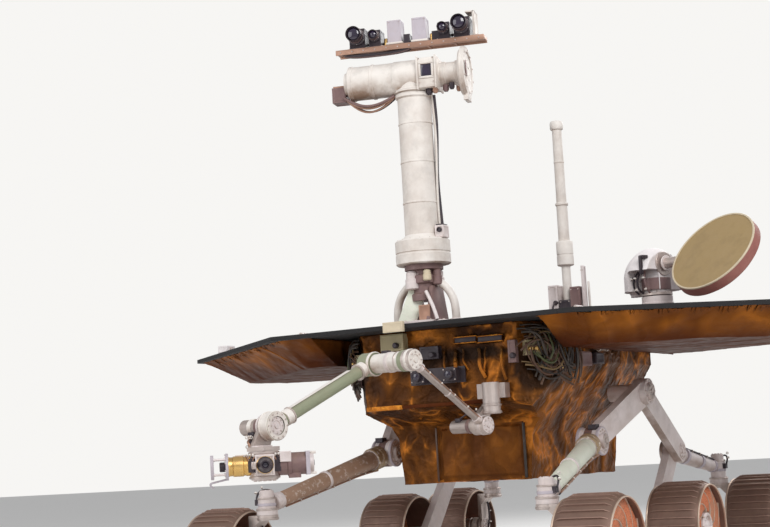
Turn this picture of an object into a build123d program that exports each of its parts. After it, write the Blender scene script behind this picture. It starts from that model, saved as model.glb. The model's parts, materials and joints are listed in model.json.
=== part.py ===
from build123d import *
import os
from math import cos, pi, radians, sin

# Planetary rover standing on its six wheels. Millimetres. While it is modelled, +X is the way
# it drives, +Y is its left side and z = 0 is the ground. The last lines move the whole rover so
# that the origin lies under the middle of its outline.

# Wheels: one-piece rims with bars across the tread
wheel_radius = 130.0
wheel_width = 160.0
cleat_count = 36
cleat_height = 5.0
cleat_thickness = 4.0
cleat_end_slope = 9.0
rim_wall = 3.5
shoulder_width = 24.0
shoulder_drop = 5.0
hub_radius = 36.0
hub_length = 46.0
hub_recess = 14.0
flexure_count = 8
flexure_thickness = 4.0
flexure_depth = 22.0
flexure_sweep = 75.0
axle_height = wheel_radius * cos(pi / cleat_count)

# Where the wheels stand: axle x and half of the track
front_axle_x = 655.0
middle_axle_x = -177.0
rear_axle_x = -707.0
front_half_track = 550.0
middle_half_track = 476.0
rear_half_track = 533.0

# Wheel drives and the brackets that steer
drive_radius = 30.0
drive_gap = 0.5
steer_offset = 131.0
steer_pivot_z = 236.0
steer_head_radius = 30.0
steer_head_thickness = 14.0
bracket_thickness = 13.0
bracket_width = 52.0
bracket_gap = 6.0

# Steering drives, fixed to the legs
steer_drive_radius = 24.0
front_drive_height = 48.0
rear_drive_height = 74.0
steer_drive_gap = 0.5
steer_cap_radius = 20.0
steer_cap_height = 16.0

# Warm box under the deck
box_floor_z = 290.0
box_front_x = 270.0
box_rear_x = -350.0
box_half_width = 203.5
box_knee_z = 420.0
box_knee_half_width = 215.0
box_slope_z = 455.0
upper_lip_z = 505.0
upper_front_x = 400.0
upper_rear_x = -360.0
upper_rear_z = 560.0
upper_half_width = 340.0
upper_flare_z = 610.0
front_panel_thickness = 5.0
front_panel_right_y = -78.0
front_panel_left_y = 178.0
front_panel_low_z = 306.0
front_panel_high_z = 446.0
lip_rail_depth = 8.0
lip_rail_height = 12.0
lip_rail_gap = 12.0
corner_length = 150.0
corner_width = 95.0

# Deck, wings and tail
deck_top_z = 733.0
panel_thickness = 12.0
deck_half_width = 420.0
deck_front_x = 520.0
deck_rear_x = -560.0
shoulder_y = 470.0
wing_tip_y = 1144.0
wing_tip_front_x = -60.0
wing_tip_rear_x = -400.0
tail_rear_x = -930.0
tail_half_width = 250.0
panel_gap = 0.6
fold_y = 907.0
fold_box_length = 46.0
fold_box_width = 34.0
fold_box_height = 22.0
edge_block_y = -64.0
edge_block_width = 62.0
edge_block_height = 28.0
target_x = -430.0
target_y = -250.0
target_size = 78.0
frame_inset = 22.0
frame_depth = 80.0
frame_inner_y = 352.0
frame_front_slope = 170.0
frame_tip_slope = 165.0
frame_rear_slope = 60.0

# Mast
mast_x = 406.0
mast_y = -23.0
mast_plate_radius = 74.0
mast_plate_thickness = 10.0
neck_radius = 40.0
neck_bottom_z = 800.0
collar_bottom_z = 900.0
collar_radius = 77.0
collar_height = 70.0
mast_gap = 0.5
mast_radius = 47.5
mast_top_z = 1385.0
mast_ring_height = 10.0
mast_ring_radius = 53.0
hoop_radius = 92.0
hoop_tube_radius = 11.5
lean_plate_width = 52.0
lean_plate_thickness = 12.0
hoop_centre_z = 770.0

# Mast head and camera bar, built about the head's own heading
head_yaw = 15.2
head_axis_z = 1434.0
head_radius = 49.0
head_right_y = -181.0
port_block_size = 86.0
port_block_right_y = 23.0
port_block_left_y = 79.0
port_radius = 20.0
port_depth = 12.0
tilt_drive_radius = 34.0
tilt_drive_left_y = 140.0
tilt_gap = 0.5
tilt_disc_radius = 74.0
tilt_disc_thickness = 20.0
port_flange = 4.0
bar_z = 1516.0
bar_length = 430.0
bar_width = 52.0
bar_thickness = 15.0
bar_arm_width = 44.0
bar_wall = 4.4
bar_channel_depth = 4.0
bracket_y = 184.0
bracket_height = 68.0
outer_camera_y = 151.5
inner_camera_y = 100.0

# Low-gain rod antenna and short whip
rod_x = 0.0
rod_y = 230.0
rod_top_z = 1332.0
rod_block_height = 92.0
whip_x = -30.0
whip_y = 285.0
whip_height = 120.0
whip_radius = 3.5

# High-gain dish on its two-axis drive
dish_drive_x = -10.0
dish_drive_y = deck_half_width + 80.0
dish_heading = -23.0
dish_face_angle = 38.0
dish_radius = 135.0
dish_thickness = 38.0
dish_axis_z = 876.0
dish_offset = 231.0
dish_foot_radius = 44.0
dish_foot_height = 52.0
dish_turn_radius = 40.0
dish_turn_height = 50.0
dish_shaft_radius = 15.0
dish_gap = 0.5
dish_rim_width = 5.0
dish_rim_depth = 2.5
dish_hub_radius = 46.0
dome_radius = 88.0
dome_low_z = 800.0
dome_wall_z = 845.0
dome_top_z = 925.0
dome_shift = -8.0
dome_cut_y = 38.0
actuator_y = -76.0
actuator_radius = 22.0
actuator_top_z = 870.0

# Rocker legs and rear beams
pivot_x = -103.0
pivot_y = 399.0
pivot_z = 523.0
pivot_radius = 38.0
leg_thickness = 24.0
knee_x = 131.0
knee_y = 330.0
knee_z = 387.0
knee_radius = 38.0
knee_length = 66.0
strut_end_z = 268.0
strut_end_back = 24.0
strut_knee_radius = 25.0
strut_end_radius = 18.0
beam_pivot_x = -375.0
beam_pivot_z = 345.0
beam_pivot_radius = 32.0
beam_y = 372.0
beam_gap = 0.5
beam_plate_length = 62.0
beam_plate_end = 24.0
rear_beam_z = 290.0
pivot_shaft_radius = 24.0
knee_boss_radius = 22.0
knee_boss_height = 8.0

# Arm: its plane is turned right of straight ahead
arm_heading = -15.0
shoulder_x = 430.0
shoulder_axis_y = 172.0
shoulder_z = 445.0
shoulder_forward = 36.0
upper_arm_length = 320.0
upper_arm_rise = 33.0
upper_arm_radius = 10.0
elbow_offset = 150.0
forearm_length = 385.0
forearm_drop = 23.4
forearm_radius = 16.5
arm_gap = 0.5
joint_half_width = 13.5
shoulder_joint_radius = 25.0
shoulder_drum_radius = 24.0
shoulder_drum_rise = 30.0
shoulder_drum_height = 28.0
shoulder_base_height = 56.0
shoulder_cheek = 16.0
elbow_joint_radius = 28.0
elbow_drive_radius = 25.0
wrist_ring_radius = 35.0
wrist_ring_half_width = 17.0
wrist_drive_radius = 20.0
wrist_drive_length = 88.0
turret_forward = 35.0
turret_drop = 95.0
turret_hub_radius = 36.0
turret_hub_half_height = 34.0
turret_reach = 128.0
turret_rest_turn = -40.0
hub_overlap = 31.0

# Cameras on the body
hazard_camera_spacing = 100.0
hazard_camera_z = 590.0

# Seat for four tie-down bolts under the warm box
tie_spacing_x = 300.0
tie_spacing_y = 200.0
tie_hole_radius = 4.5
tie_hole_depth = 20.0


def rod(start, end, radius):
    """Round bar from one point to another."""
    start = Vector(start)
    along = Vector(end) - start
    return extrude(Plane(origin=start, z_dir=along) * Circle(radius), amount=along.length)


def taper(start, end, start_radius, end_radius):
    """Round bar whose radius changes evenly."""
    start = Vector(start)
    along = Vector(end) - start
    return Plane(origin=start, z_dir=along) * Pos(0, 0, along.length / 2) * Cone(
        start_radius, end_radius, along.length
    )


def link(start, end, start_radius, end_radius, thickness):
    """Flat plate with two round ends, standing as upright as its direction allows."""
    start = Vector(start)
    along = Vector(end) - start
    side = Vector(0, 1, 0)
    normal = side - along * (side.dot(along) / along.dot(along))
    plane = Plane(origin=start, x_dir=along, z_dir=normal)
    ends = Circle(start_radius).edges() + (Pos(along.length, 0) * Circle(end_radius)).edges()
    return extrude(plane * make_hull(ends), amount=thickness / 2, both=True)


def prism(plane, points, low, high):
    """Straight prism of an outline, from one height above the plane to another."""
    outline = plane.offset(low) * Polygon(*points, align=None)
    return extrude(outline, amount=high - low, dir=plane.z_dir)


def right_side(piece):
    """The same piece on the rover's right."""
    return mirror(piece, about=Plane.XZ)


def wheel():
    """Left wheel about its own centre, open towards the body, hub towards the outside."""
    half = wheel_width / 2
    barrel = wheel_radius - cleat_height
    # columns: y across the tread, outside radius there
    sections = [
        (-half, barrel - shoulder_drop),
        (-half + shoulder_width, barrel),
        (half - shoulder_width, barrel),
        (half, barrel - shoulder_drop),
    ]

    def ring(y, radius):
        return Plane(origin=(0, y, 0), x_dir=(1, 0, 0), z_dir=(0, 1, 0)) * RegularPolygon(
            radius, cleat_count
        )

    rim = loft([ring(y, radius) for y, radius in sections], ruled=True)
    bore_radius = barrel - shoulder_drop - rim_wall
    rim -= extrude(ring(-half - 1, bore_radius), amount=wheel_width + 2, dir=(0, 1, 0))
    bar_half = half - shoulder_width
    bar_outline = [
        (-bar_half, barrel - 1),
        (-bar_half + cleat_end_slope, wheel_radius),
        (bar_half - cleat_end_slope, wheel_radius),
        (bar_half, barrel - 1),
    ]
    bar = extrude(Plane.YZ * Polygon(*bar_outline, align=None), amount=cleat_thickness / 2, both=True)
    step = 360 / cleat_count
    for index in range(cleat_count):
        rim += Rot(0, step * (index + 0.5), 0) * bar
    hub_end = half - hub_recess
    flexure_start = hub_end - flexure_depth
    flat = Plane(origin=(0, flexure_start, 0), x_dir=(1, 0, 0), z_dir=(0, 1, 0))
    chord = Vector(bore_radius + 1, 0).rotate(Axis.Z, flexure_sweep)
    bend = Vector(bore_radius * 0.72, 0).rotate(Axis.Z, flexure_sweep * 0.22)
    curve = ThreePointArc((hub_radius - 2, 0), bend, chord)
    flexure = extrude(flat * trace(curve, flexure_thickness), amount=flexure_depth, dir=(0, 1, 0))
    for index in range(flexure_count):
        rim += Rot(0, 360 * index / flexure_count, 0) * flexure
    rim += rod((0, hub_end - hub_length, 0), (0, hub_end, 0), hub_radius)
    rim -= rod((0, hub_end - 8, 0), (0, hub_end + 1, 0), hub_radius - 10)
    return rim


def wheel_drive(x, half_track, inner):
    """Drive housing inside a left wheel, from its hub's face in to what carries it."""
    hub_face = half_track + wheel_width / 2 - hub_recess - hub_length - drive_gap
    housing = rod((x, hub_face - 22, axle_height), (x, hub_face, axle_height), drive_radius)
    housing += rod((x, inner, axle_height), (x, hub_face - 22, axle_height), drive_radius - 5)
    return housing


def knuckle(x, half_track):
    """Left steering bracket with the wheel drive at its foot."""
    axis_y = half_track - steer_offset
    outer_y = half_track - wheel_width / 2 - bracket_gap
    inner_y = outer_y - bracket_thickness
    head_low = steer_pivot_z - steer_head_thickness
    foot_low = axle_height - bracket_width / 2
    arch = [
        (axis_y, steer_pivot_z),
        (outer_y, steer_pivot_z),
        (outer_y, foot_low),
        (inner_y, foot_low),
        (inner_y, head_low - 22),
        (inner_y - 22, head_low),
        (axis_y, head_low),
    ]
    bracket = Pos(x, 0, 0) * extrude(
        Plane.YZ * Polygon(*arch, align=None), amount=bracket_width / 2, both=True
    )
    bracket += rod((x, axis_y, head_low), (x, axis_y, steer_pivot_z), steer_head_radius)
    bracket += rod((x, inner_y, axle_height), (x, outer_y, axle_height), bracket_width / 2 + 6)
    return bracket + wheel_drive(x, half_track, inner_y)


def steering_drive(x, half_track, height):
    """Upright drive over a left steering bracket."""
    axis_y = half_track - steer_offset
    low = steer_pivot_z + steer_drive_gap
    high = low + height
    drive = rod((x, axis_y, low), (x, axis_y, low + 18), steer_drive_radius + 5)
    drive += rod((x, axis_y, low + 18), (x, axis_y, high), steer_drive_radius)
    return drive + rod((x, axis_y, high), (x, axis_y, high + steer_cap_height), steer_cap_radius)


def rocker():
    """Left rocker: body pivot, front link, knee joint, strut and front steering drive."""
    pivot = Vector(pivot_x, pivot_y, pivot_z)
    knee = Vector(knee_x, knee_y, knee_z)
    strut_end = Vector(
        front_axle_x - strut_end_back, front_half_track - steer_offset - 4, strut_end_z
    )
    leg_y = beam_y + leg_thickness + beam_gap
    rear = Vector(beam_pivot_x, leg_y, beam_pivot_z)
    leg = link(pivot, knee, pivot_radius, knee_radius - 4, leg_thickness)
    leg += link(
        (pivot_x, leg_y, pivot_z), rear, pivot_radius - 4, beam_pivot_radius, leg_thickness
    )
    leg += rod((pivot_x, pivot_y - 20, pivot_z), (pivot_x, pivot_y + 22, pivot_z), pivot_radius)
    half = knee_length / 2
    leg += rod(knee - Vector(0, half, 0), knee + Vector(0, half, 0), knee_radius)
    reach = half + knee_boss_height
    leg += rod(knee - Vector(0, reach, 0), knee + Vector(0, reach, 0), knee_boss_radius)
    leg += taper(knee, strut_end, strut_knee_radius, strut_end_radius)
    along = (strut_end - knee).normalized()
    leg += rod(knee + along * 40, knee + along * 78, strut_knee_radius + 7)
    leg += rod(strut_end - along * 30, strut_end, strut_end_radius + 4)
    leg += steering_drive(front_axle_x, front_half_track, front_drive_height)
    body_side_y = box_knee_half_width + (upper_half_width - box_knee_half_width) * (
        (pivot_z + pivot_shaft_radius - box_knee_z) / (upper_flare_z - box_knee_z)
    )
    shaft_start = (pivot_x, body_side_y + 0.3, pivot_z)
    leg += rod(shaft_start, pivot, pivot_shaft_radius)
    cap_start = pivot + Vector(0, 22, 0)
    return leg + rod(cap_start, cap_start + Vector(0, 6, 0), pivot_radius - 12)


def rear_beam():
    """Left rear beam: pivot, leg down to the middle wheel, arm back to the rear steering drive."""
    pivot = Vector(beam_pivot_x, beam_y, beam_pivot_z)
    middle = Vector(middle_axle_x, beam_y, axle_height)
    rear_axis_y = rear_half_track - steer_offset
    rear_end = Vector(rear_axle_x + strut_end_back, rear_axis_y - 6, rear_beam_z)
    beam = link(pivot, middle, beam_pivot_radius - 3, drive_radius + 4, leg_thickness)
    level = Vector(rear_end.X - pivot.X, 0, rear_end.Z - pivot.Z).normalized()
    elbow = pivot + level * beam_plate_length
    beam += link(pivot, elbow, beam_pivot_radius - 3, beam_plate_end, leg_thickness)
    beam += taper(elbow, rear_end, beam_plate_end, strut_end_radius)
    beam += rod(pivot - Vector(0, 26, 0), pivot + Vector(0, 12, 0), beam_pivot_radius)
    beam += wheel_drive(middle_axle_x, middle_half_track, beam_y)
    return beam + steering_drive(rear_axle_x, rear_half_track, rear_drive_height)


front_slot_depth = 14.0
# columns: middle y, middle z, width, height of a slot in the upper front
front_slots = [
    (89.0, 683.0, 64.0, 14.0),
    (164.0, 680.0, 72.0, 14.0),
]
# columns: middle x, y, z, depth, width, height of a box on the upper front
front_boxes = [
    (upper_front_x + 8, -130.0, 692.0, 30.0, 72.0, 46.0),
    (upper_front_x + 4, -18.0, 655.0, 24.0, 58.0, 34.0),
    (upper_front_x + 2, 232.0, 640.0, 18.0, 22.0, 60.0),
]
# columns: along the chamfered corner, z, width, height, how far it stands out
corner_boxes = [
    (-44.0, 648.0, 54.0, 40.0, 16.0),
    (30.0, 664.0, 46.0, 30.0, 12.0),
    (18.0, 596.0, 62.0, 34.0, 12.0),
]
# columns: x, z, width, height, how far it stands out from the flat side
side_boxes = [
    (190.0, 616.0, 70.0, 38.0, 16.0),
    (84.0, 620.0, 54.0, 30.0, 12.0),
]


def electronics_box():
    """Warm box: narrow below, flaring to the deck, with chamfered front corners."""
    deck_low = deck_top_z - panel_thickness
    side = [
        (box_rear_x, box_floor_z),
        (box_front_x, box_floor_z),
        (box_front_x, box_slope_z),
        (upper_front_x, upper_lip_z),
        (upper_front_x, deck_low),
        (upper_rear_x, deck_low),
        (upper_rear_x, upper_rear_z),
        (box_rear_x, box_slope_z),
    ]
    half_front = [
        (box_half_width, box_floor_z),
        (box_knee_half_width, box_knee_z),
        (upper_half_width, upper_flare_z),
        (upper_half_width, deck_low),
    ]
    front = half_front + [(-y, z) for y, z in reversed(half_front)]
    half_plan = [
        (upper_rear_x, upper_half_width),
        (upper_front_x - corner_length, upper_half_width),
        (upper_front_x, upper_half_width - corner_width),
    ]
    plan = half_plan + [(x, -y) for x, y in reversed(half_plan)]
    reach = 1000
    body = extrude(Plane.XZ * Polygon(*side, align=None), amount=reach, both=True)
    body &= extrude(Plane.YZ * Polygon(*front, align=None), amount=reach, both=True)
    body &= prism(Plane.XY, plan, 0, reach)
    body += front_panel() + lip_rail()
    for x, y, z, depth, width, height in front_boxes:
        body += Pos(x, y, z) * Box(depth, width, height)
    for y, z, width, height in front_slots:
        body -= Pos(upper_front_x, y, z) * Box(front_slot_depth * 2, width, height)
    corner = Plane(
        origin=(upper_front_x - corner_length / 2, upper_half_width - corner_width / 2, 0),
        x_dir=(-corner_length, corner_width, 0),
        z_dir=(corner_width, corner_length, 0),
    )
    for along, z, width, height, depth in corner_boxes:
        box = corner * Pos(along, z, 0) * Box(width, height, depth * 2)
        body += box
        body += right_side(box)
    for x, z, width, height, depth in side_boxes:
        box = Pos(x, upper_half_width, z) * Box(width, depth * 2, height)
        body += box
        body += right_side(box)
    middle_x = (box_front_x + box_rear_x) / 2
    for x in (-tie_spacing_x / 2, tie_spacing_x / 2):
        for y in (-tie_spacing_y / 2, tie_spacing_y / 2):
            start = Vector(middle_x + x, y, box_floor_z - 1)
            body -= rod(start, start + Vector(0, 0, tie_hole_depth + 1), tie_hole_radius)
    return body


def front_panel():
    """Thin cover on the lower front, with a shallow edge all round."""
    middle_y = (front_panel_right_y + front_panel_left_y) / 2
    middle_z = (front_panel_low_z + front_panel_high_z) / 2
    width = front_panel_left_y - front_panel_right_y
    height = front_panel_high_z - front_panel_low_z
    cover = Box(front_panel_thickness * 2, width, height)
    outer = cover.faces().sort_by(Axis.X)[-1].edges()
    return Pos(box_front_x, middle_y, middle_z) * chamfer(outer, front_panel_thickness * 0.6)


def lip_rail():
    """Rail along the lower edge of the upper front, up to the arm's shoulder."""
    right = -(upper_half_width - corner_width - 4)
    left = shoulder_axis_y - shoulder_drum_radius - lip_rail_gap
    middle = (upper_front_x, (left + right) / 2, upper_lip_z + lip_rail_height / 2)
    return Pos(*middle) * Box(lip_rail_depth * 2, left - right, lip_rail_height)


def wing_panel():
    """Left solar wing, swept back to its tip."""
    inner = deck_half_width + panel_gap
    outline = [
        (deck_front_x, inner),
        (deck_front_x, shoulder_y),
        (wing_tip_front_x, wing_tip_y),
        (wing_tip_rear_x, wing_tip_y),
        (deck_rear_x, inner),
    ]
    return prism(Plane.XY, outline, deck_top_z - panel_thickness, deck_top_z)


def wing_frame():
    """Covered frame under the left wing: a shallow hull, deepest towards the back."""
    top_z = deck_top_z - panel_thickness
    top = [
        (deck_front_x - frame_inset, frame_inner_y),
        (deck_front_x - frame_inset, shoulder_y - frame_inset / 2),
        (wing_tip_front_x, wing_tip_y - frame_inset),
        (wing_tip_rear_x + frame_inset, wing_tip_y - frame_inset),
        (deck_rear_x + frame_inset, frame_inner_y),
    ]
    low = [
        (deck_front_x - frame_front_slope, frame_inner_y),
        (deck_front_x - frame_front_slope, shoulder_y - frame_inset / 2),
        (wing_tip_front_x - frame_rear_slope, wing_tip_y - frame_tip_slope),
        (wing_tip_rear_x + frame_rear_slope, wing_tip_y - frame_tip_slope),
        (deck_rear_x + frame_rear_slope, frame_inner_y),
    ]
    return loft(
        [
            Plane.XY.offset(top_z - frame_depth) * Polygon(*low, align=None),
            Plane.XY.offset(top_z) * Polygon(*top, align=None),
        ],
        ruled=True,
    )


def deck():
    """Centre deck plate between the wings."""
    outline = [
        (deck_rear_x, -deck_half_width),
        (deck_front_x, -deck_half_width),
        (deck_front_x, deck_half_width),
        (deck_rear_x, deck_half_width),
    ]
    return prism(Plane.XY, outline, deck_top_z - panel_thickness, deck_top_z)


# Hinge knuckles on the wings beside the deck: their x, length and radius
hinge_places = (400.0, 60.0, -300.0)
hinge_length = 46.0
hinge_radius = 6.0
fitting_gap = 0.3


def deck_fittings():
    """Small pieces on the deck: wing hinges, fold boxes, front edge block, colour target."""
    low = deck_top_z + fitting_gap
    edge_x = deck_front_x + fitting_gap + 6
    block_z = deck_top_z + 7 - edge_block_height / 2
    fittings = [
        Pos(edge_x, edge_block_y, block_z) * Box(12, edge_block_width, edge_block_height),
        Pos(0, 0, fitting_gap) * colour_target(),
    ]
    share = (fold_y - shoulder_y) / (wing_tip_y - shoulder_y)
    fold_x = deck_front_x + (wing_tip_front_x - deck_front_x) * share - fold_box_length / 2 - 12
    fold_box = Box(fold_box_length, fold_box_width, fold_box_height)
    for side in (-1, 1):
        fittings.append(Pos(fold_x, side * fold_y, low + fold_box_height / 2) * fold_box)
        for x in hinge_places:
            y = side * (deck_half_width + panel_gap + hinge_radius + 4)
            start = Vector(x - hinge_length / 2, y, low + hinge_radius)
            fittings.append(rod(start, start + Vector(hinge_length, 0, 0), hinge_radius))
    return Compound(children=fittings)


def colour_target():
    """Low square plate with a post on three rings, near the deck's rear edge."""
    low = deck_top_z
    target = Pos(0, 0, low + 4.5) * Box(target_size, target_size, 9)
    for radius, top in ((32.0, 12.0), (22.0, 14.0), (12.0, 16.0)):
        target += rod((0, 0, low), (0, 0, low + top), radius)
    target += taper((0, 0, low + 10), (0, 0, low + 60), 3.5, 2.0)
    target += Pos(0, 0, low + 62) * Sphere(5)
    return Pos(target_x, target_y, 0) * target


def tail():
    """Tail panel behind the deck."""
    front = deck_rear_x - panel_gap
    outline = [
        (front, deck_half_width),
        (tail_rear_x, tail_half_width),
        (tail_rear_x, -tail_half_width),
        (front, -deck_half_width),
    ]
    return prism(Plane.XY, outline, deck_top_z - panel_thickness, deck_top_z)


def mast_base():
    """Mast foot: ring plate, two leaning side plates, neck and guard hoop."""
    z = deck_top_z
    base = rod((0, 0, z), (0, 0, z + mast_plate_thickness), mast_plate_radius)
    base += rod((0, 0, neck_bottom_z), (0, 0, collar_bottom_z), neck_radius)
    base += rod((0, 0, collar_bottom_z - 14), (0, 0, collar_bottom_z), neck_radius + 14)
    plate = [
        (-58, z + mast_plate_thickness - 1),
        (58, z + mast_plate_thickness - 1),
        (30, neck_bottom_z + 40),
        (-30, neck_bottom_z + 40),
    ]
    for side in (-1, 1):
        base += Pos(0, side * 34, 0) * extrude(
            Plane.XZ * Polygon(*plate, align=None), amount=6, both=True
        )
    hoop_plane = Plane(origin=(0, 0, hoop_centre_z), x_dir=(0, 1, 0), z_dir=(1, 0, 0))
    drop = hoop_centre_z - z - 2
    path = Polyline((-hoop_radius, -drop), (-hoop_radius, 0)) + ThreePointArc(
        (-hoop_radius, 0), (0, hoop_radius), (hoop_radius, 0)
    )
    path += Line((hoop_radius, 0), (hoop_radius, -drop))
    hoop = sweep(
        Plane(origin=(0, -hoop_radius, z + 2), z_dir=(0, 0, 1)) * Circle(hoop_tube_radius),
        path=hoop_plane * path,
    )
    for side in (-1, 1):
        base += rod((0, side * hoop_radius, z), (0, side * hoop_radius, z + 10), 16)
    base += hoop
    base += lean_plate(z) + neck_drives(z)
    return Pos(mast_x, mast_y, 0) * base


def lean_plate(z):
    """Plate that leans out from the neck over the front of the foot."""
    top = Vector(20, -30, z + 112)
    foot = Vector(54, -60, z + 4)
    side = Vector(-0.49, 0.87, 0) * (lean_plate_width / 2)
    outline = Polyline(top + side, top - side, foot - side, foot + side, close=True)
    return extrude(make_face(outline), amount=lean_plate_thickness / 2, both=True)


def neck_drives(z):
    """Drives and connectors round the neck, under the collar."""
    # columns: direction in degrees, reach, lowest z above the deck, height, radius
    table = [
        (-33.0, 38.0, 98.0, 50.0, 19.0),
        (37.0, 44.0, 112.0, 36.0, 12.0),
        (77.0, 44.0, 106.0, 42.0, 15.0),
        (147.0, 40.0, 102.0, 46.0, 18.0),
        (219.0, 40.0, 100.0, 48.0, 18.0),
    ]
    drives = Part()
    for turn, reach, low, height, radius in table:
        x = reach * cos(radians(turn))
        y = reach * sin(radians(turn))
        drives += rod((x, y, z + low), (x, y, z + low + height), radius)
    return drives


def mast_tube():
    """Turning mast: azimuth collar, tube and top ring."""
    low = collar_bottom_z + mast_gap
    collar_top = low + collar_height
    tube = rod((0, 0, low), (0, 0, collar_top), collar_radius)
    tube += taper((0, 0, collar_top), (0, 0, collar_top + 12), collar_radius - 10, mast_radius)
    tube += rod((0, 0, collar_top), (0, 0, mast_top_z), mast_radius)
    tube += rod((0, 0, mast_top_z - mast_ring_height), (0, 0, mast_top_z), mast_ring_radius)
    tube += Pos(0, collar_radius - 12, collar_top + 17) * Box(34, 26, 34)
    return Pos(mast_x, mast_y, 0) * tube


def head_place(piece):
    """Move a piece from the head's own frame, +X where it looks, to the top of the mast."""
    return Pos(mast_x, mast_y, 0) * Rot(0, 0, head_yaw) * piece


def mast_head():
    """Periscope housing across the mast's top, with its port block and tilt drive."""
    z = head_axis_z
    head = rod((0, head_right_y, z), (0, port_block_right_y, z), head_radius)
    head += rod((0, 0, mast_top_z + 0.3), (0, 0, z), mast_radius - 1)
    head += rod((0, port_block_right_y, z), (0, tilt_drive_left_y, z), tilt_drive_radius)
    block_middle = (port_block_right_y + port_block_left_y) / 2
    block_width = port_block_left_y - port_block_right_y
    head += Pos(12, block_middle, z) * Box(port_block_size, block_width, port_block_size)
    face_x = 12 + port_block_size / 2
    head -= rod((face_x - port_depth, block_middle, z), (face_x + 1, block_middle, z), port_radius)
    for y in (port_block_right_y + 2, port_block_left_y - 2):
        side = port_block_size + 2 * port_flange
        head += Pos(12, y, z) * Box(side, 5, side)
    head += rod((0, head_right_y, z), (0, head_right_y + 10, z), head_radius + 2)
    head += rod((0, head_right_y - 14, z), (0, head_right_y, z), head_radius - 14)
    head += rod((0, tilt_drive_left_y - 14, z), (0, tilt_drive_left_y, z), tilt_drive_radius + 3)
    head += Pos(-10, head_right_y - 34, z - 30) * Box(50, 40, 44)
    return head_place(head)


def camera_bar():
    """Tilting plate with its disc on the drive and the bar across the top."""
    z = head_axis_z
    disc_y = tilt_drive_left_y + tilt_gap
    disc_end = disc_y + tilt_disc_thickness
    bar = Pos(0, 0, z) * tilt_disc(disc_y, disc_end)
    arm = [
        (-bar_arm_width / 2, z),
        (bar_arm_width / 2, z),
        (bar_width / 2, bar_z + bar_thickness),
        (-bar_width / 2, bar_z + bar_thickness),
    ]
    bar += Pos(0, disc_end - 7, 0) * extrude(
        Plane.XZ * Polygon(*arm, align=None), amount=7, both=True
    )
    beam = Pos(0, 0, bar_z + bar_thickness / 2) * Box(bar_width, bar_length, bar_thickness)
    channel = (bar_width - 2 * bar_wall, bar_length - 4 * bar_wall, 2 * bar_channel_depth)
    beam -= Pos(0, 0, bar_z) * Box(*channel)
    return head_place(bar + beam)


def tilt_disc(start, end):
    """Disc with a bevelled edge and a ring-shaped recess, about the Y axis."""
    radius = tilt_disc_radius
    outline = [
        (0, start),
        (radius - 9, start),
        (radius, start + 6),
        (radius, end - 6),
        (radius - 5, end),
        (radius - 18, end),
        (radius - 21, end - 4),
        (32, end - 4),
        (29, end),
        (0, end),
    ]
    return revolve(Plane.XY * Polygon(*outline, align=None), axis=Axis.Y)


def mast_cameras():
    """Two pairs of cameras and their electronics boxes on the bar."""
    top = bar_z + bar_thickness
    # columns: y, body width, body height, height of its barrel, barrel radius, barrel length
    table = [
        (outer_camera_y, 46, 57, 34, 22, 46),
        (-outer_camera_y, 46, 57, 34, 22, 46),
        (inner_camera_y, 34, 48, 31, 14, 26),
        (-inner_camera_y, 34, 48, 31, 14, 26),
    ]
    cameras = []
    low = top + 0.3
    for y, width, height, rise, radius, length in table:
        axis = Vector(20 + length, y, top + rise)
        back = Vector(19, y, axis.Z)
        body = Pos(-6, y, low + height / 2) * Box(52, width, height)
        body += rod(back, axis, radius - 2)
        body += rod(back, back + Vector(6, 0, 0), radius + 3)
        body += rod(axis - Vector(length / 2, 0, 0), axis, radius)
        body -= rod(axis - Vector(10, 0, 0), axis + Vector(1, 0, 0), radius - 4)
        cameras.append(body)
    # columns: x, y, depth, width, height of a box on the bar
    boxes = [
        (0, -42, 44, 40, 70),
        (0, 30, 44, 40, 70),
        (-2, -8, 34, 18, 27),
        (-2, 70, 34, 14, 27),
    ]
    for x, y, depth, width, height in boxes:
        cameras.append(Pos(x, y, low + height / 2) * Box(depth, width, height))
    bracket = Pos(-12, bracket_y, low + bracket_height / 2) * Box(40, 6, bracket_height)
    bracket += Pos(-12, bracket_y - 8, low + bracket_height - 2.5) * Box(42, 22, 5)
    bracket += Pos(-6, bracket_y + 4, low + 2.5) * Box(46, 22, 5)
    cameras.append(bracket)
    return head_place(Compound(children=cameras))


def low_gain_rod():
    """Low-gain antenna: a stepped rod on a small foot."""
    # columns: radius, top height of that step
    steps = [
        (24, deck_top_z + 14),
        (13, 958.0),
        (16, 966.0),
        (13, 972.0),
        (17, 1020.0),
        (11, 1118.0),
        (14, 1126.0),
        (9.5, rod_top_z - 18),
        (15, rod_top_z),
    ]
    outline = [(0, deck_top_z)]
    low = deck_top_z
    for radius, top in steps:
        outline += [(radius, low), (radius, top)]
        low = top
    outline.append((0, low))
    turned = revolve(Plane.XZ * Polygon(*outline, align=None), axis=Axis.Z)
    # columns: x, y from the rod, depth, width, height of a box round its foot
    for x, y, depth, width, height in (
        (8, -26, 48, 34, rod_block_height),
        (4, 30, 40, 32, rod_block_height * 0.75),
        (-30, 2, 30, 44, rod_block_height * 0.5),
    ):
        turned += Pos(x, y, deck_top_z + height / 2) * Box(depth, width, height)
    return Pos(rod_x, rod_y, 0) * turned


def whip():
    """Short whip antenna beside the rod."""
    z = deck_top_z
    piece = rod((0, 0, z), (0, 0, z + 20), 9)
    piece += rod((0, 0, z + 20), (0, 0, z + whip_height), whip_radius)
    return Pos(whip_x, whip_y, 0) * piece


def dish_place(piece):
    """Move a piece from the dish drive's own frame, +X where the dish looks, to the deck."""
    return Pos(dish_drive_x, dish_drive_y, 0) * Rot(0, 0, dish_heading) * piece


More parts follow.
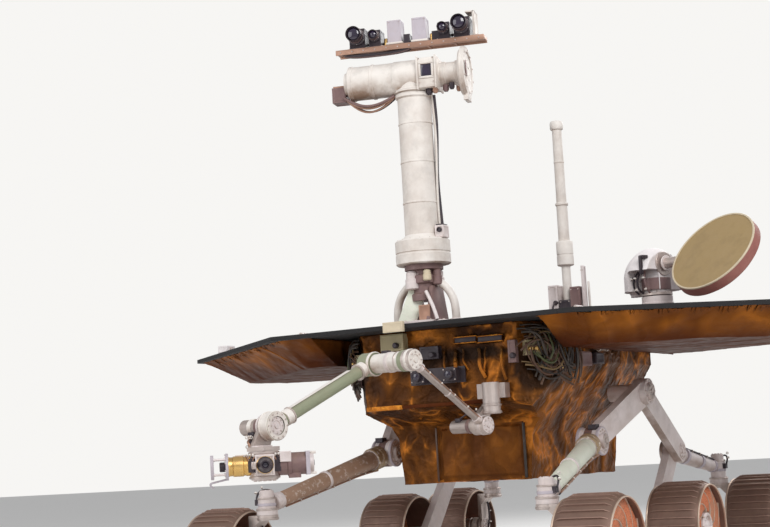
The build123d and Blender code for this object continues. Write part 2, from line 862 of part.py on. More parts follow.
def dish_foot():
    """Fixed foot of the dish drive."""
    z = deck_top_z
    foot = rod((0, 0, z), (0, 0, z + 8), dish_foot_radius + 14)
    return dish_place(foot + rod((0, 0, z + 8), (0, 0, z + dish_foot_height), dish_foot_radius))


def dish_turn():
    """Turning part of the dish drive: upright drum and level tilt drum."""
    low = deck_top_z + dish_foot_height + dish_gap
    outline = [
        Line((0, dome_low_z), (dome_radius, dome_low_z)),
        Line((dome_radius, dome_low_z), (dome_radius, dome_wall_z)),
        ThreePointArc(
            (dome_radius, dome_wall_z),
            (dome_radius * 0.72, dome_wall_z + (dome_top_z - dome_wall_z) * 0.66),
            (0, dome_top_z),
        ),
        Line((0, dome_top_z), (0, dome_low_z)),
    ]
    dome = revolve(Plane.XZ * make_face(Wire(outline)), axis=Axis.Z)
    piece = Pos(0, dome_shift, 0) * dome
    cut = 4 * dome_radius
    piece -= Pos(0, dome_cut_y + cut / 2, dish_axis_z) * Box(cut, cut, cut)
    mouth_high = dome_wall_z + 12
    piece -= Pos(dome_radius, 6, (dome_low_z + mouth_high) / 2 - 1) * Box(
        dome_radius * 1.4, 70, mouth_high - dome_low_z + 2
    )
    piece += rod((0, 0, low), (0, 0, low + dish_turn_height), dish_turn_radius)
    piece += rod((0, actuator_y, low + 4), (0, actuator_y, actuator_top_z), actuator_radius)
    return dish_place(piece)


def dish():
    """Flat drum-shaped dish with its shaft."""
    shaft_start = dome_cut_y + dish_gap
    half = dish_thickness / 2
    inner = dish_radius - dish_rim_width
    outline = [
        (0, half - dish_rim_depth),
        (inner, half - dish_rim_depth),
        (inner, half),
        (dish_radius, half),
        (dish_radius, -half + 6),
        (dish_radius - 8, -half),
        (inner - 14, -half),
        (inner - 18, -half + 5),
        (dish_hub_radius + 4, -half + 5),
        (dish_hub_radius, -half),
        (0, -half),
    ]
    drum = revolve(Plane.XZ * Polygon(*outline, align=None), axis=Axis.Z)
    face = Rot(0, 90 - dish_face_angle, 0) * drum
    piece = Pos(0, dish_offset, dish_axis_z) * face
    edge = dish_offset - dish_radius + 6
    piece += rod((0, shaft_start, dish_axis_z), (0, edge, dish_axis_z), dish_shaft_radius)
    return dish_place(piece)


def hazard_cameras(face_x, way):
    """Pair of body cameras on a small plate; way is +1 in front and -1 behind."""
    z = hazard_camera_z
    plate = Pos(face_x + way * 3.3, 0, z) * Box(6, hazard_camera_spacing + 70, 44)
    for side in (-1, 1):
        y = side * hazard_camera_spacing / 2
        plate += Pos(face_x + way * 19, y, z) * Box(28, 42, 36)
        plate += rod((face_x + way * 30, y, z), (face_x + way * 44, y, z), 12)
    return plate


def arm_place(piece):
    """Move a piece from the arm's own frame, +X along its plane, to the azimuth axis."""
    return Pos(shoulder_x, shoulder_axis_y, shoulder_z) * Rot(0, 0, arm_heading) * piece


def arm_base():
    """Fixed shoulder bracket on the body's front."""
    low = shoulder_z + shoulder_drum_rise + shoulder_drum_height + arm_gap
    middle = low + shoulder_base_height * 0.6
    depth = shoulder_x - upper_front_x - 0.3
    top = (shoulder_x, shoulder_axis_y, low + shoulder_base_height)
    bracket = rod((shoulder_x, shoulder_axis_y, low), top, shoulder_drum_radius)
    return bracket + Pos(shoulder_x - depth / 2, shoulder_axis_y, middle) * Box(depth, 84, 40)


elbow_x = shoulder_forward + upper_arm_length * cos(radians(upper_arm_rise))
elbow_z = upper_arm_length * sin(radians(upper_arm_rise))
wrist_x = elbow_x + forearm_length * cos(radians(forearm_drop))
wrist_z = elbow_z - forearm_length * sin(radians(forearm_drop))
turret_x = wrist_x + turret_forward
turret_z = wrist_z - turret_drop


def arm_shoulder():
    """Azimuth drum with the elevation drive beside the upper arm."""
    low = shoulder_drum_rise
    high = low + shoulder_drum_height
    start = -joint_half_width - arm_gap
    middle = start - shoulder_cheek / 2
    piece = rod((0, 0, low), (0, 0, high), shoulder_drum_radius)
    cheek_top = (0, middle, (low + high) / 2)
    axis = (shoulder_forward, middle, 0)
    piece += link(cheek_top, axis, shoulder_drum_height / 2, shoulder_joint_radius, shoulder_cheek)
    end = start - shoulder_cheek
    piece += rod((shoulder_forward, end - 80, 0), (shoulder_forward, end, 0), shoulder_joint_radius - 7)
    return arm_place(piece)


def upper_arm():
    """Thin upper arm between the shoulder and elbow hubs."""
    half = joint_half_width
    x = shoulder_forward
    piece = rod((x, -half, 0), (x, half, 0), shoulder_joint_radius)
    piece += rod((x, 0, 0), (elbow_x, 0, elbow_z), upper_arm_radius)
    piece += rod((elbow_x, -half, elbow_z), (elbow_x, half, elbow_z), elbow_joint_radius)
    return arm_place(piece)


def forearm():
    """Elbow drive, forearm tube and wrist ring."""
    start = -joint_half_width - arm_gap
    side = -elbow_offset
    piece = rod((elbow_x, side, elbow_z), (elbow_x, start, elbow_z), elbow_drive_radius)
    piece += rod((elbow_x, start - 14, elbow_z), (elbow_x, start, elbow_z), elbow_joint_radius)
    piece += rod((elbow_x, side - 20, elbow_z), (elbow_x, side + 20, elbow_z), elbow_joint_radius + 3)
    piece += rod((elbow_x, side, elbow_z), (wrist_x, side, wrist_z), forearm_radius)
    half = wrist_ring_half_width
    ring_end = Vector(wrist_x, side + half, wrist_z)
    piece += rod((wrist_x, side - half, wrist_z), ring_end, wrist_ring_radius)
    piece -= rod(ring_end - Vector(0, 6, 0), ring_end + Vector(0, 1, 0), wrist_ring_radius - 8)
    return arm_place(piece)


def wrist():
    """Wrist drive and the bracket over the turret."""
    side = -elbow_offset
    start = side - wrist_ring_half_width - arm_gap
    end = (wrist_x, start - wrist_drive_length, wrist_z)
    piece = rod(end, (wrist_x, start, wrist_z), wrist_drive_radius)
    piece += rod((wrist_x, start - 14, wrist_z), (wrist_x, start, wrist_z), wrist_ring_radius - 5)
    top = turret_z + turret_hub_half_height + arm_gap
    cheek = [
        (wrist_x - 24, wrist_z),
        (wrist_x + 24, wrist_z),
        (turret_x + 24, top),
        (turret_x - 34, top),
    ]
    piece += Pos(0, start - 7, 0) * extrude(
        Plane.XZ * Polygon(*cheek, align=None), amount=7, both=True
    )
    piece += Pos(turret_x, (start - 14 + side + 30) / 2, top + 5) * Box(54, side + 44 - start, 10)
    return arm_place(piece)


def turret():
    """Turret hub carrying the four instruments in a ring."""
    hub = rod(
        (0, 0, -turret_hub_half_height), (0, 0, turret_hub_half_height), turret_hub_radius
    )
    return arm_place(Pos(turret_x, -elbow_offset, turret_z) * hub)


def on_turret(turn, piece):
    """Cut a radial instrument round the hub and turn it to its place on the turret."""
    clear = turret_hub_radius + 0.3
    piece -= rod((0, 0, -200), (0, 0, 200), clear)
    turned = Rot(0, 0, turret_rest_turn + turn) * piece
    return arm_place(Pos(turret_x, -elbow_offset, turret_z) * turned)


def abrasion_tool():
    """Drum with a square end plate, a round head in it and two stops beside it."""
    reach = turret_reach
    body = rod((hub_overlap, 0, 0), (reach - 26, 0, 0), 28)
    body += rod((58, 0, 0), (66, 0, 0), 31)
    body += Pos(reach - 21, 0, 0) * Box(10, 58, 58)
    body += rod((reach - 16, 0, 0), (reach - 6, 0, 0), 23)
    body -= rod((reach - 14, 0, 0), (reach, 0, 0), 14)
    body += rod((reach - 16, 0, 0), (reach - 4, 0, 0), 8)
    for side in (-1, 1):
        body += Pos(reach - 9, 0, side * 25) * Box(18, 14, 7)
    return on_turret(180, body)


def microscope_imager():
    """Box with a stepped barrel that narrows to its lens, and a dust cover's arm."""
    reach = turret_reach - 4
    body = Pos(48, 0, 0) * Box(56, 46, 50)
    body += rod((70, 0, 0), (92, 0, 0), 20)
    body += taper((92, 0, 0), (reach, 0, 0), 17, 11)
    body -= rod((reach - 8, 0, 0), (reach + 1, 0, 0), 8)
    body += Pos(84, 26, 0) * Box(44, 8, 16)
    return on_turret(90, body)


def iron_spectrometer():
    """Round body behind an open ring on four struts, with a thin contact rod."""
    reach = turret_reach + 4
    body = rod((hub_overlap, 0, 0), (reach - 44, 0, 0), 25)
    body += rod((reach - 44, 0, 0), (reach - 37, 0, 0), 33)
    ring = rod((reach - 8, 0, 0), (reach, 0, 0), 30) - rod((reach - 9, 0, 0), (reach + 1, 0, 0), 22)
    body += ring
    body += rod((reach - 40, 0, 0), (reach - 22, 0, 0), 12)
    for turn in (45, 135, 225, 315):
        body += Rot(turn, 0, 0) * rod((reach - 40, 0, 26), (reach - 4, 0, 26), 3)
    body += rod((reach - 40, 0, -30), (reach + 6, 0, -38), 2.5)
    return on_turret(0, body)


def particle_spectrometer():
    """Stepped round body with a pair of doors at its end."""
    reach = turret_reach - 10
    body = rod((hub_overlap, 0, 0), (reach - 30, 0, 0), 25)
    body += rod((reach - 34, 0, 0), (reach - 24, 0, 0), 28)
    body += rod((reach - 24, 0, 0), (reach - 8, 0, 0), 20)
    for side in (-1, 1):
        body += Pos(reach - 12, 0, side * 12) * Rot(0, side * 20, 0) * Box(22, 26, 3)
    return on_turret(270, body)


parts = {
    "electronics_box": electronics_box(),
    "equipment_deck": deck(),
    "tail_panel": tail(),
    "deck_fittings": deck_fittings(),
    "mast_base": mast_base(),
    "mast_tube": mast_tube(),
    "mast_head": mast_head(),
    "camera_bar": camera_bar(),
    "mast_cameras": mast_cameras(),
    "low_gain_rod": low_gain_rod(),
    "whip_antenna": whip(),
    "dish_foot": dish_foot(),
    "dish_turn": dish_turn(),
    "dish": dish(),
    "hazard_cameras_front": hazard_cameras(upper_front_x, 1),
    "hazard_cameras_rear": hazard_cameras(upper_rear_x, -1),
    "arm_base": arm_base(),
    "arm_shoulder": arm_shoulder(),
    "upper_arm": upper_arm(),
    "forearm": forearm(),
    "wrist": wrist(),
    "turret": turret(),
    "abrasion_tool": abrasion_tool(),
    "microscope_imager": microscope_imager(),
    "iron_spectrometer": iron_spectrometer(),
    "particle_spectrometer": particle_spectrometer(),
}

# columns: name, axle x, half of the track, whether it steers
corners = [
    ("front", front_axle_x, front_half_track, True),
    ("middle", middle_axle_x, middle_half_track, False),
    ("rear", rear_axle_x, rear_half_track, True),
]
left_pieces = {
    "wing_panel": wing_panel(),
    "wing_frame": wing_frame(),
    "rocker": rocker(),
    "rear_beam": rear_beam(),
}
left_wheel = wheel()
for name, axle_x, half_track, steers in corners:
    left_pieces["wheel_" + name] = Pos(axle_x, half_track, axle_height) * left_wheel
    if steers:
        left_pieces["knuckle_" + name] = knuckle(axle_x, half_track)
for name, piece in left_pieces.items():
    parts[name + "_left"] = piece
    parts[name + "_right"] = right_side(piece)

boxes = [piece.bounding_box() for piece in parts.values()]
centre_x = (min(box.min.X for box in boxes) + max(box.max.X for box in boxes)) / 2
centre_y = (min(box.min.Y for box in boxes) + max(box.max.Y for box in boxes)) / 2
print("moved back by", round(centre_x, 3), "and right by", round(centre_y, 3))

os.makedirs("parts", exist_ok=True)
for name, piece in parts.items():
    export_step(Pos(-centre_x, -centre_y, 0) * piece, f"parts/{name}.step")
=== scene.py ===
import json
import math
import random

import bpy
from mathutils import Matrix, Vector


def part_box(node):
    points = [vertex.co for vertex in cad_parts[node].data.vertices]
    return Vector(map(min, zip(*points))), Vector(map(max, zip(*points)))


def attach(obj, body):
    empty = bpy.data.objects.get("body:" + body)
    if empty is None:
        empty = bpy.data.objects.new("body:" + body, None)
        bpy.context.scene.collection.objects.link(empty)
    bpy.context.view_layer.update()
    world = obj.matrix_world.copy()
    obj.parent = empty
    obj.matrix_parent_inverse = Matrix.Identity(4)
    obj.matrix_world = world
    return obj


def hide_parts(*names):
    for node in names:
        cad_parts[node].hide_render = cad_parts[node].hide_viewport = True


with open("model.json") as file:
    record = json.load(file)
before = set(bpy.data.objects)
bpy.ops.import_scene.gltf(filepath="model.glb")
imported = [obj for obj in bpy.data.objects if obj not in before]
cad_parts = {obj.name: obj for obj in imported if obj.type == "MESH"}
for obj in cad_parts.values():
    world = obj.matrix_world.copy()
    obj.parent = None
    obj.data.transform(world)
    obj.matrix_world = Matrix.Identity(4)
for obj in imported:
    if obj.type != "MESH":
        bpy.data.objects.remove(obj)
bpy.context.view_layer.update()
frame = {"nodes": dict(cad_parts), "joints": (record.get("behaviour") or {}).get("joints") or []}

bl_info = {
    "name": "Planetary rover looks",
    "version": (1, 0, 0),
    "blender": (4, 5, 0),
    "location": "View3D > Sidebar > Rover",
    "description": "Finishes and fine pieces of a six-wheeled planetary rover",
    "category": "Object",
}

NODES = frame["nodes"]
JOINTS = {joint["name"]: joint for joint in frame["joints"]}
SIDES = (("left", 1), ("right", -1))
AXLES = ("front", "middle", "rear")
# The fine pieces are modelled in millimetres, each this many metres
MM = 0.001

# Where the photograph was taken from, in the rover's frame
CAMERA_PLACE = Vector((4.519, 2.226, 0.363))
CAMERA_YAW = 0.511
CAMERA_PITCH = -0.114
CAMERA_ROLL = -0.056
CAMERA_LENS = 80.8


def joint_point(name):
    """Where a joint's axis passes, at rest, in millimetres."""
    return Vector(JOINTS[name]["pos_m"]) / MM


def colour(name, description, value):
    """A colour that a user may change."""
    return bpy.props.FloatVectorProperty(
        name=name, description=description, subtype="COLOR", size=3, min=0, max=1, default=value
    )


def length(name, description, value):
    """A length that a user may change."""
    return bpy.props.FloatProperty(
        name=name, description=description, default=value, min=0, unit="LENGTH", precision=4
    )


class RoverColours(bpy.types.PropertyGroup):
    """Colours of the rover's finishes."""
    # The film has a painted lit colour and a painted shade colour, mixed over its folds
    film: colour("Film", "Lit parts of the amber blanket", (0.42, 0.140, 0.018))
    film_shade: colour("Film painted shade", "Painted shade in the folds of the amber blanket", (0.036, 0.011, 0.003))
    white: colour("White paint", "Mast and dish drive", (0.86, 0.81, 0.76))
    dust: colour("Dust", "Fine brown dust", (0.42, 0.29, 0.20))
    cells: colour("Cells", "Solar cells", (0.012, 0.016, 0.035))
    wheel: colour("Wheels", "Anodised wheel metal", (0.20, 0.118, 0.092))
    wheel_edge: colour("Worn rims", "Worn edges of the wheels", (0.55, 0.42, 0.33))
    foam: colour("Foam", "Foam between the wheel spokes", (0.66, 0.20, 0.09))
    leg: colour("Legs", "Light grey legs", (0.80, 0.72, 0.71))
    metal: colour("Metal", "Bare joints and drives", (0.50, 0.43, 0.40))
    arm_green: colour("Forearm", "Pale green-grey tube", (0.30, 0.33, 0.22))
    bar: colour("Camera bar", "Copper-brown bar", (0.36, 0.20, 0.14))
    # The camera colour is near black; on the front body cameras and the box above them it also paints the
    # deep shade there
    camera: colour("Cameras", "Dark camera housings", (0.040, 0.030, 0.040))
    dish_face: colour("Dish face", "Tan face of the dish", (0.36, 0.25, 0.11))
    dish_side: colour("Dish side", "Red-brown side of the dish", (0.33, 0.12, 0.10))
    gold: colour("Gold", "Gold coated metal", (0.80, 0.50, 0.16))
    cream: colour("Cream", "Small blocks on the deck's edge", (0.66, 0.56, 0.40))
    olive: colour("Olive", "Boxes of the body's wiring", (0.42, 0.35, 0.20))
    tan: colour("Tan metal", "Right front strut", (0.38, 0.235, 0.16))
    speckled: colour("Speckled sleeve", "Sleeves at the roots of the struts", (0.42, 0.30, 0.18))
    cloth: colour("Drive cover", "Loose cover of the dish drive", (0.88, 0.83, 0.83))
    plum: colour("Plum brown", "Purple-brown housings and leads", (0.20, 0.12, 0.12))
    lilac: colour("Lilac grey", "Boxes on the camera bar", (0.52, 0.47, 0.52))
    pale_green: colour("Pale green", "Leaning plate at the mast's foot", (0.76, 0.79, 0.67))
    floor: colour("Floor", "Plain pale floor", (0.86, 0.85, 0.83))


class RoverSizes(bpy.types.PropertyGroup):
    """Sizes of the fine pieces."""
    crumple: length("Crumple", "Depth of the folds in the blanket", 0.006)


def colours():
    """The scene's colour values."""
    return bpy.context.scene.rover_colours


class Finish:
    """Node graph of one material, built from its shader backwards."""

    def __init__(self, name):
        self.material = bpy.data.materials.new(name)
        self.material.use_nodes = True
        self.tree = self.material.node_tree
        self.shader = self.tree.nodes["Principled BSDF"]
        self.place = self.add("ShaderNodeTexCoord").outputs["Object"]

    def add(self, kind, **values):
        """A node whose sockets or settings get these values."""
        node = self.tree.nodes.new(kind)
        for key, value in values.items():
            label = key.replace("_", " ").title()
            socket = node.inputs.get(label)
            if socket is None:
                setattr(node, key, value)
            else:
                self.put(value, socket)
        return node

    def put(self, value, socket):
        """Feeds a socket with another's output, a number, a vector or a colour."""
        if isinstance(value, bpy.types.NodeSocket):
            self.tree.links.new(value, socket)
        elif socket.type == "RGBA":
            socket.default_value = (*value[:3], 1)
        else:
            socket.default_value = value

    def link(self, output, socket):
        """Feeds a socket, by name on the shader or itself."""
        if isinstance(socket, str):
            socket = self.shader.inputs[socket]
        self.tree.links.new(output, socket)

    def stretched(self, scale):
        """Object coordinates stretched by a scale for each axis."""
        return self.add("ShaderNodeMapping", vector=self.place, scale=scale).outputs["Vector"]

    def noise(self, scale, detail, roughness=0.55, distortion=0.0, place=None):
        """Soft noise from 0 to 1."""
        node = self.add(
            "ShaderNodeTexNoise", vector=place or self.place, scale=scale, detail=detail,
            roughness=roughness, distortion=distortion,
        )
        return node.outputs["Fac"]

    def cells(self, scale):
        """Distance from the nearest of scattered cells."""
        node = self.add("ShaderNodeTexVoronoi", vector=self.place, scale=scale)
        return node.outputs["Distance"]

    def ramp(self, value, low, high, start=0.0, end=1.0):
        """Value mapped from low..high to start..end, clamped."""
        node = self.tree.nodes.new("ShaderNodeMapRange")
        self.tree.links.new(value, node.inputs["Value"])
        for socket, number in zip(("From Min", "From Max", "To Min", "To Max"), (low, high, start, end)):
            node.inputs[socket].default_value = number
        return node.outputs["Result"]

    def math(self, operation, first, second):
        """A sum on two values."""
        node = self.tree.nodes.new("ShaderNodeMath")
        node.operation = operation
        for socket, value in zip(node.inputs, (first, second)):
            self.put(value, socket)
        return node.outputs["Value"]

    def times(self, first, second):
        """The product of two values."""
        return self.math("MULTIPLY", first, second)

    def mix(self, factor, first, second):
        """Colour mixed by a factor."""
        node = self.tree.nodes.new("ShaderNodeMix")
        node.data_type = "RGBA"
        for value, socket in zip((factor, first, second), (node.inputs[0], *node.inputs[6:8])):
            self.put(value, socket)
        return node.outputs[2]

    def axes(self, value):
        """The X, Y and Z of a vector."""
        return self.add("ShaderNodeSeparateXYZ", vector=value).outputs

    def facing(self, low, high):
        """The normal's Z mapped from low..high to 0..1."""
        return self.ramp(self.axes(self.add("ShaderNodeNewGeometry").outputs["Normal"])["Z"], low, high)

    def ridges(self, value, low):
        """Sharp ridges where a soft noise crosses its middle, from 0 to 1."""
        return self.ramp(self.math("PINGPONG", value, 0.5), low, 0.5)

    def spot(self, centre, size, blur=0.35):
        """Soft patch with its centre and half sizes in the rover's frame, from 0 to 1."""
        moved = self.add("ShaderNodeVectorMath", operation="SUBTRACT")
        scaled = self.add("ShaderNodeVectorMath", operation="DIVIDE")
        far = self.add("ShaderNodeVectorMath", operation="LENGTH")
        self.tree.links.new(self.place, moved.inputs[0])
        moved.inputs[1].default_value = centre
        self.tree.links.new(moved.outputs["Vector"], scaled.inputs[0])
        scaled.inputs[1].default_value = size
        self.tree.links.new(scaled.outputs["Vector"], far.inputs[0])
        ragged = self.times(self.noise(16.0, 3.0), 0.5)
        distance = self.math("ADD", far.outputs["Value"], self.math("SUBTRACT", ragged, 0.25))
        return self.ramp(distance, 1.0 - blur, 1.0 + blur, 1.0, 0.0)

    def worn(self, low, high):
        """Edges that stand out, from 0 to 1."""
        point = self.add("ShaderNodeNewGeometry").outputs["Pointiness"]
        return self.ramp(point, low, high)

    def bump(self, height, strength, distance):
        """Adds a bump over any that is there."""
        node = self.tree.nodes.new("ShaderNodeBump")
        node.inputs["Strength"].default_value = strength
        node.inputs["Distance"].default_value = distance
        self.tree.links.new(height, node.inputs["Height"])
        socket = self.shader.inputs["Normal"]
        if socket.is_linked:
            self.tree.links.new(socket.links[0].from_socket, node.inputs["Normal"])
        self.tree.links.new(node.outputs["Normal"], socket)

    def set(self, **values):
        """Plain values on the shader."""
        for key, value in values.items():
            self.shader.inputs[key.replace("_", " ").title()].default_value = value


def dusty(finish, base, amount, dust, settled=0.35):
    """Base colour with dust in blotches, thicker on top."""
    blotch = finish.ramp(finish.noise(9.0, 6.0, 0.6), 0.35, 0.75)
    fine = finish.ramp(finish.noise(60.0, 4.0, 0.6), 0.3, 0.8)
    cover = finish.times(blotch, fine)
    cover = finish.math("ADD", cover, finish.times(finish.facing(0.0, 1.0), settled))
    cover = finish.times(cover, amount)
    return finish.mix(cover, base, dust)


def painted(name, base, amount=0.55, roughness=(0.42, 0.68), metallic=0.0, underside_reflection=0.0, flecks=0.0):
    """Dusty paint with fine grain and grime, and a painted brown reflection of the ground on its
    undersides.
    """
    finish = Finish(name)
    grime = finish.ramp(finish.noise(22.0, 7.0, 0.65), 0.50, 0.80)
    dark = tuple(channel * 0.62 for channel in base)
    shade = finish.mix(finish.times(grime, 0.6), base, dark)
    # Painted reflection: faces that look down turn brown, as if lit from the ground; these finishes also
    # get less dust on top, so their tops stay whiter
    blotch = finish.ramp(finish.noise(13.0, 5.0, 0.6), 0.30, 0.62)
    low = finish.times(finish.times(finish.facing(0.25, -0.6), blotch), underside_reflection)
    shade = finish.mix(low, shade, (0.28, 0.17, 0.11))
    if flecks:
        fleck = finish.ramp(finish.noise(75.0, 3.0, 0.6), 0.56, 0.64)
        shade = finish.mix(finish.times(fleck, flecks), shade, (0.86, 0.80, 0.74))
    finish.link(dusty(finish, shade, amount, colours().dust, 0.35 if not underside_reflection else 0.08), "Base Color")
    finish.link(finish.ramp(finish.noise(34.0, 5.0), 0.3, 0.7, *roughness), "Roughness")
    finish.bump(finish.noise(260.0, 3.0, 0.6), 0.25, 0.0006)
    finish.set(metallic=metallic)
    return finish.material


def machined(name, base, metallic=0.75, roughness=(0.32, 0.55), wear=1.4):
    """Bare or anodised metal with tool marks and brighter worn edges."""
    finish = Finish(name)
    edge = finish.times(finish.worn(0.52, 0.62), 0.7)
    bright = tuple(min(1.0, channel * wear + 0.05) for channel in base)
    stained = finish.ramp(finish.noise(30.0, 6.0, 0.65), 0.4, 0.75)
    shade = finish.mix(finish.times(stained, 0.5), base, tuple(c * 0.6 for c in base))
    shade = finish.mix(edge, shade, bright)
    finish.link(dusty(finish, shade, 0.4, colours().dust), "Base Color")
    finish.link(finish.ramp(finish.noise(70.0, 4.0), 0.3, 0.7, *roughness), "Roughness")
    marks = finish.noise(420.0, 2.0, 0.5, place=finish.stretched((1, 1, 0.08)))
    finish.bump(marks, 0.12, 0.0004)
    finish.set(metallic=metallic)
    return finish.material


# Painted shadows on the body's blanket, where its hollows lie in shade: centre and half sizes
PAINTED_SHADOWS = (
    ((0.281, -0.075, 0.640), (0.08, 0.105, 0.050)),
    ((0.240, 0.290, 0.585), (0.13, 0.090, 0.075)),
    ((0.240, -0.290, 0.600), (0.13, 0.090, 0.085)),
    ((0.281, 0.120, 0.645), (0.06, 0.120, 0.022)),
)


def film(name, light, shade, metallic=0.35, size=1.0, crisp=1.0, low=None, gloss=0.12):
    """Loose amber film: soft hanging folds with painted light and shade, painted highlights on sharp
    ridges and painted shadows in dark hollows.
    """
    finish = Finish(name)
    hung = finish.stretched((1.0, 1.0, 0.75))
    wave = finish.noise(4.5 / size, 3.0, 0.5, 0.5, hung)
    fold = finish.ridges(finish.noise(7.0 / size, 2.0, 0.5, 0.6, hung), 0.36)
    crease = finish.ridges(finish.noise(19.0 / size, 2.0, 0.5, 0.4), 0.38)
    crinkle = finish.ridges(finish.noise(46.0, 2.0, 0.5), 0.40)
    # Painted light and shade: the shade colour in the folds, the lit colour where they would catch the
    # light
    lit = finish.times(finish.ramp(wave, 0.36, 0.60), finish.ramp(fold, 0.0, 0.8, 0.30, 1.0))
    lit = finish.times(lit, finish.ramp(crease, 0.0, 0.8, 0.70, 1.0))
    tone = finish.mix(lit, shade, light)
    # Painted highlight: the sharp ridges glint up to twice the lit colour
    glint = finish.times(finish.math("POWER", fold, 5.0), crease)
    tone = finish.mix(finish.times(glint, 0.8 * crisp), tone, tuple(min(1, c * 2.0) for c in light))
    if low:
        height = finish.math("ADD", finish.axes(finish.place)["Z"], finish.times(finish.math("SUBTRACT",
            wave, 0.5), 0.10))
        tone = finish.mix(finish.ramp(height, 0.660, 0.700, 0.85, 0.0), tone, low)
    # Painted shadows: the colour goes near black within each of these patches
    for centre, half in PAINTED_SHADOWS:
        depth = finish.times(finish.spot(centre, half), 0.90)
        tone = finish.mix(depth, tone, (0.012, 0.006, 0.004))
    finish.link(dusty(finish, tone, 0.07, colours().dust), "Base Color")
    finish.shader.inputs["Specular IOR Level"].default_value = gloss
    finish.link(finish.ramp(finish.noise(28.0, 5.0), 0.3, 0.75, 0.34, 0.62), "Roughness")
    finish.bump(wave, 0.6, 0.040 * size)
    finish.bump(fold, 0.6, 0.010 * size)
    finish.bump(crease, 0.6 * crisp, 0.004 * size)
    finish.bump(crinkle, 0.4 * crisp, 0.0015)
    finish.set(metallic=metallic)
    return finish.material


def solar(name, base):
    """Dark cells in a grid under cover glass, with thin pale gaps and dust."""
    finish = Finish(name)
    place = finish.axes(finish.place)
    gaps = None
    gap = 0.0009
    for axis, pitch in (("X", 0.04), ("Y", 0.08)):
        step = finish.math("PINGPONG", place[axis], pitch / 2)
        line = finish.ramp(step, gap, gap * 1.6, 1.0, 0.0)
        gaps = line if gaps is None else finish.math("MAXIMUM", gaps, line)
    fingers = finish.math("PINGPONG", place["Y"], 0.001)
    fingers = finish.ramp(fingers, 0.0001, 0.00025, 0.12, 0.0)
    tint = finish.mix(finish.noise(12.5, 1.0), base, tuple(c * 2.2 + 0.004 for c in base))
    tint = finish.mix(fingers, tint, (0.3, 0.3, 0.34))
    tint = finish.mix(finish.times(gaps, 0.8), tint, (0.36, 0.30, 0.24))
    flat = finish.ramp(finish.facing(0.0, 1.0), 0.8, 1.0)
    tint = dusty(finish, tint, 0.28, colours().dust)
    finish.link(finish.mix(flat, (0.010, 0.009, 0.010), tint), "Base Color")
    gloss = finish.ramp(finish.noise(18.0, 6.0), 0.3, 0.7, 0.14, 0.4)
    rough = finish.times(finish.math("SUBTRACT", 1.0, flat), 0.75)
    finish.link(finish.math("MAXIMUM", gloss, rough), "Roughness")
    finish.bump(gaps, 0.4, 0.0005)
    return finish.material


def foam(name, base):
    """Open-celled foam."""
    finish = Finish(name)
    pores = finish.cells(260.0)
    tone = finish.mix(finish.ramp(pores, 0.1, 0.6), tuple(c * 0.45 for c in base), base)
    tone = finish.mix(finish.ramp(finish.noise(14.0, 5.0), 0.4, 0.75, 0.0, 0.6), tone, colours().dust)
    finish.link(tone, "Base Color")
    finish.bump(pores, 0.6, 0.002)
    finish.set(roughness=0.9)
    return finish.material


def glass_eye(name):
    """Dark coated lens."""
    finish = Finish(name)
    ring = finish.noise(40.0, 2.0)
    finish.link(finish.mix(ring, (0.006, 0.004, 0.012), (0.03, 0.015, 0.05)), "Base Color")
    finish.link(finish.ramp(ring, 0.3, 0.7, 0.04, 0.12), "Roughness")
    finish.set(coat_weight=1.0)
    return finish.material


MATERIALS = {}


def finish_of(name):
    """The material of that name, made when it is first asked for."""
    if name not in MATERIALS:
        c = colours()
        makers = {
            "film": (film, c.film, c.film_shade),
            "film_dark": (film, (0.34, 0.110, 0.014), (0.10, 0.027, 0.006), 0.05, 2.2, 0.25,
                (0.070, 0.016, 0.006), 0.03),
            "film_smooth": (film, tuple(v * 0.6 for v in c.film), (0.080, 0.022, 0.004), 0.35, 1.5, 0.4),
            "cells": (solar, c.cells),
            # For painted finishes the fifth value paints a brown reflection of the ground on the
            # undersides
            "white": (painted, c.white, 0.26, (0.42, 0.68), 0, 0.95),
            "leg": (painted, c.leg, 0.28, (0.35, 0.6), 0.1, 0.75),
            "metal": (machined, c.metal),
            "wheel": (machined, c.wheel, 0.45, (0.42, 0.66), 2.2),
            "rim": (machined, c.wheel_edge, 0.6, (0.35, 0.6)),
            "foam": (foam, c.foam),
            "green": (painted, c.arm_green, 0.35, (0.35, 0.6), 0.2),
            "bar": (machined, c.bar, 0.55),
            "camera": (painted, c.camera, 0.12, (0.3, 0.55), 0.2),
            "lens": (glass_eye,),
            "dish_face": (painted, c.dish_face, 0.2, (0.55, 0.8)),
            "dish_side": (painted, c.dish_side, 0.25, (0.45, 0.7)),
            "gold": (machined, c.gold, 0.9, (0.2, 0.4), 1.2),
            # A lighter copy of the film, for painted light on the lit folds, slot edges and a ledge
            "film_painted_light": (film, tuple(min(1, v * 1.5) for v in c.film), c.film, 0.35, 0.6),
            "cream": (painted, c.cream, 0.3),
            "olive": (painted, c.olive, 0.4),
            "tan": (painted, c.tan, 0.3, (0.35, 0.6), 0.2, 0, 0.40),
            "speckled": (painted, c.speckled, 0.5, (0.3, 0.55), 0.4, 0, 0.9),
            "cloth": (painted, c.cloth, 0.2, (0.5, 0.75), 0.0, 0.5),
            "dish_lip": (painted, c.cream, 0.3),
            "cord_dark": (painted, (0.016, 0.011, 0.010), 0.3, (0.3, 0.5)),
            "cord_green": (painted, (0.060, 0.075, 0.022), 0.3, (0.3, 0.5)),
            "cord_brown": (painted, (0.075, 0.030, 0.014), 0.3, (0.3, 0.5)),
            "cord_tan": (painted, (0.17, 0.105, 0.040), 0.3, (0.3, 0.5)),
            "plum": (painted, c.plum, 0.4, (0.4, 0.6), 0.2),
            "lilac": (painted, c.lilac, 0.3, (0.4, 0.6)),
            "pale_green": (painted, c.pale_green, 0.15, (0.35, 0.55), 0.1, 0, 0.35),
        }
        maker, *values = makers[name]
        MATERIALS[name] = maker(name, *values)
    return MATERIALS[name]
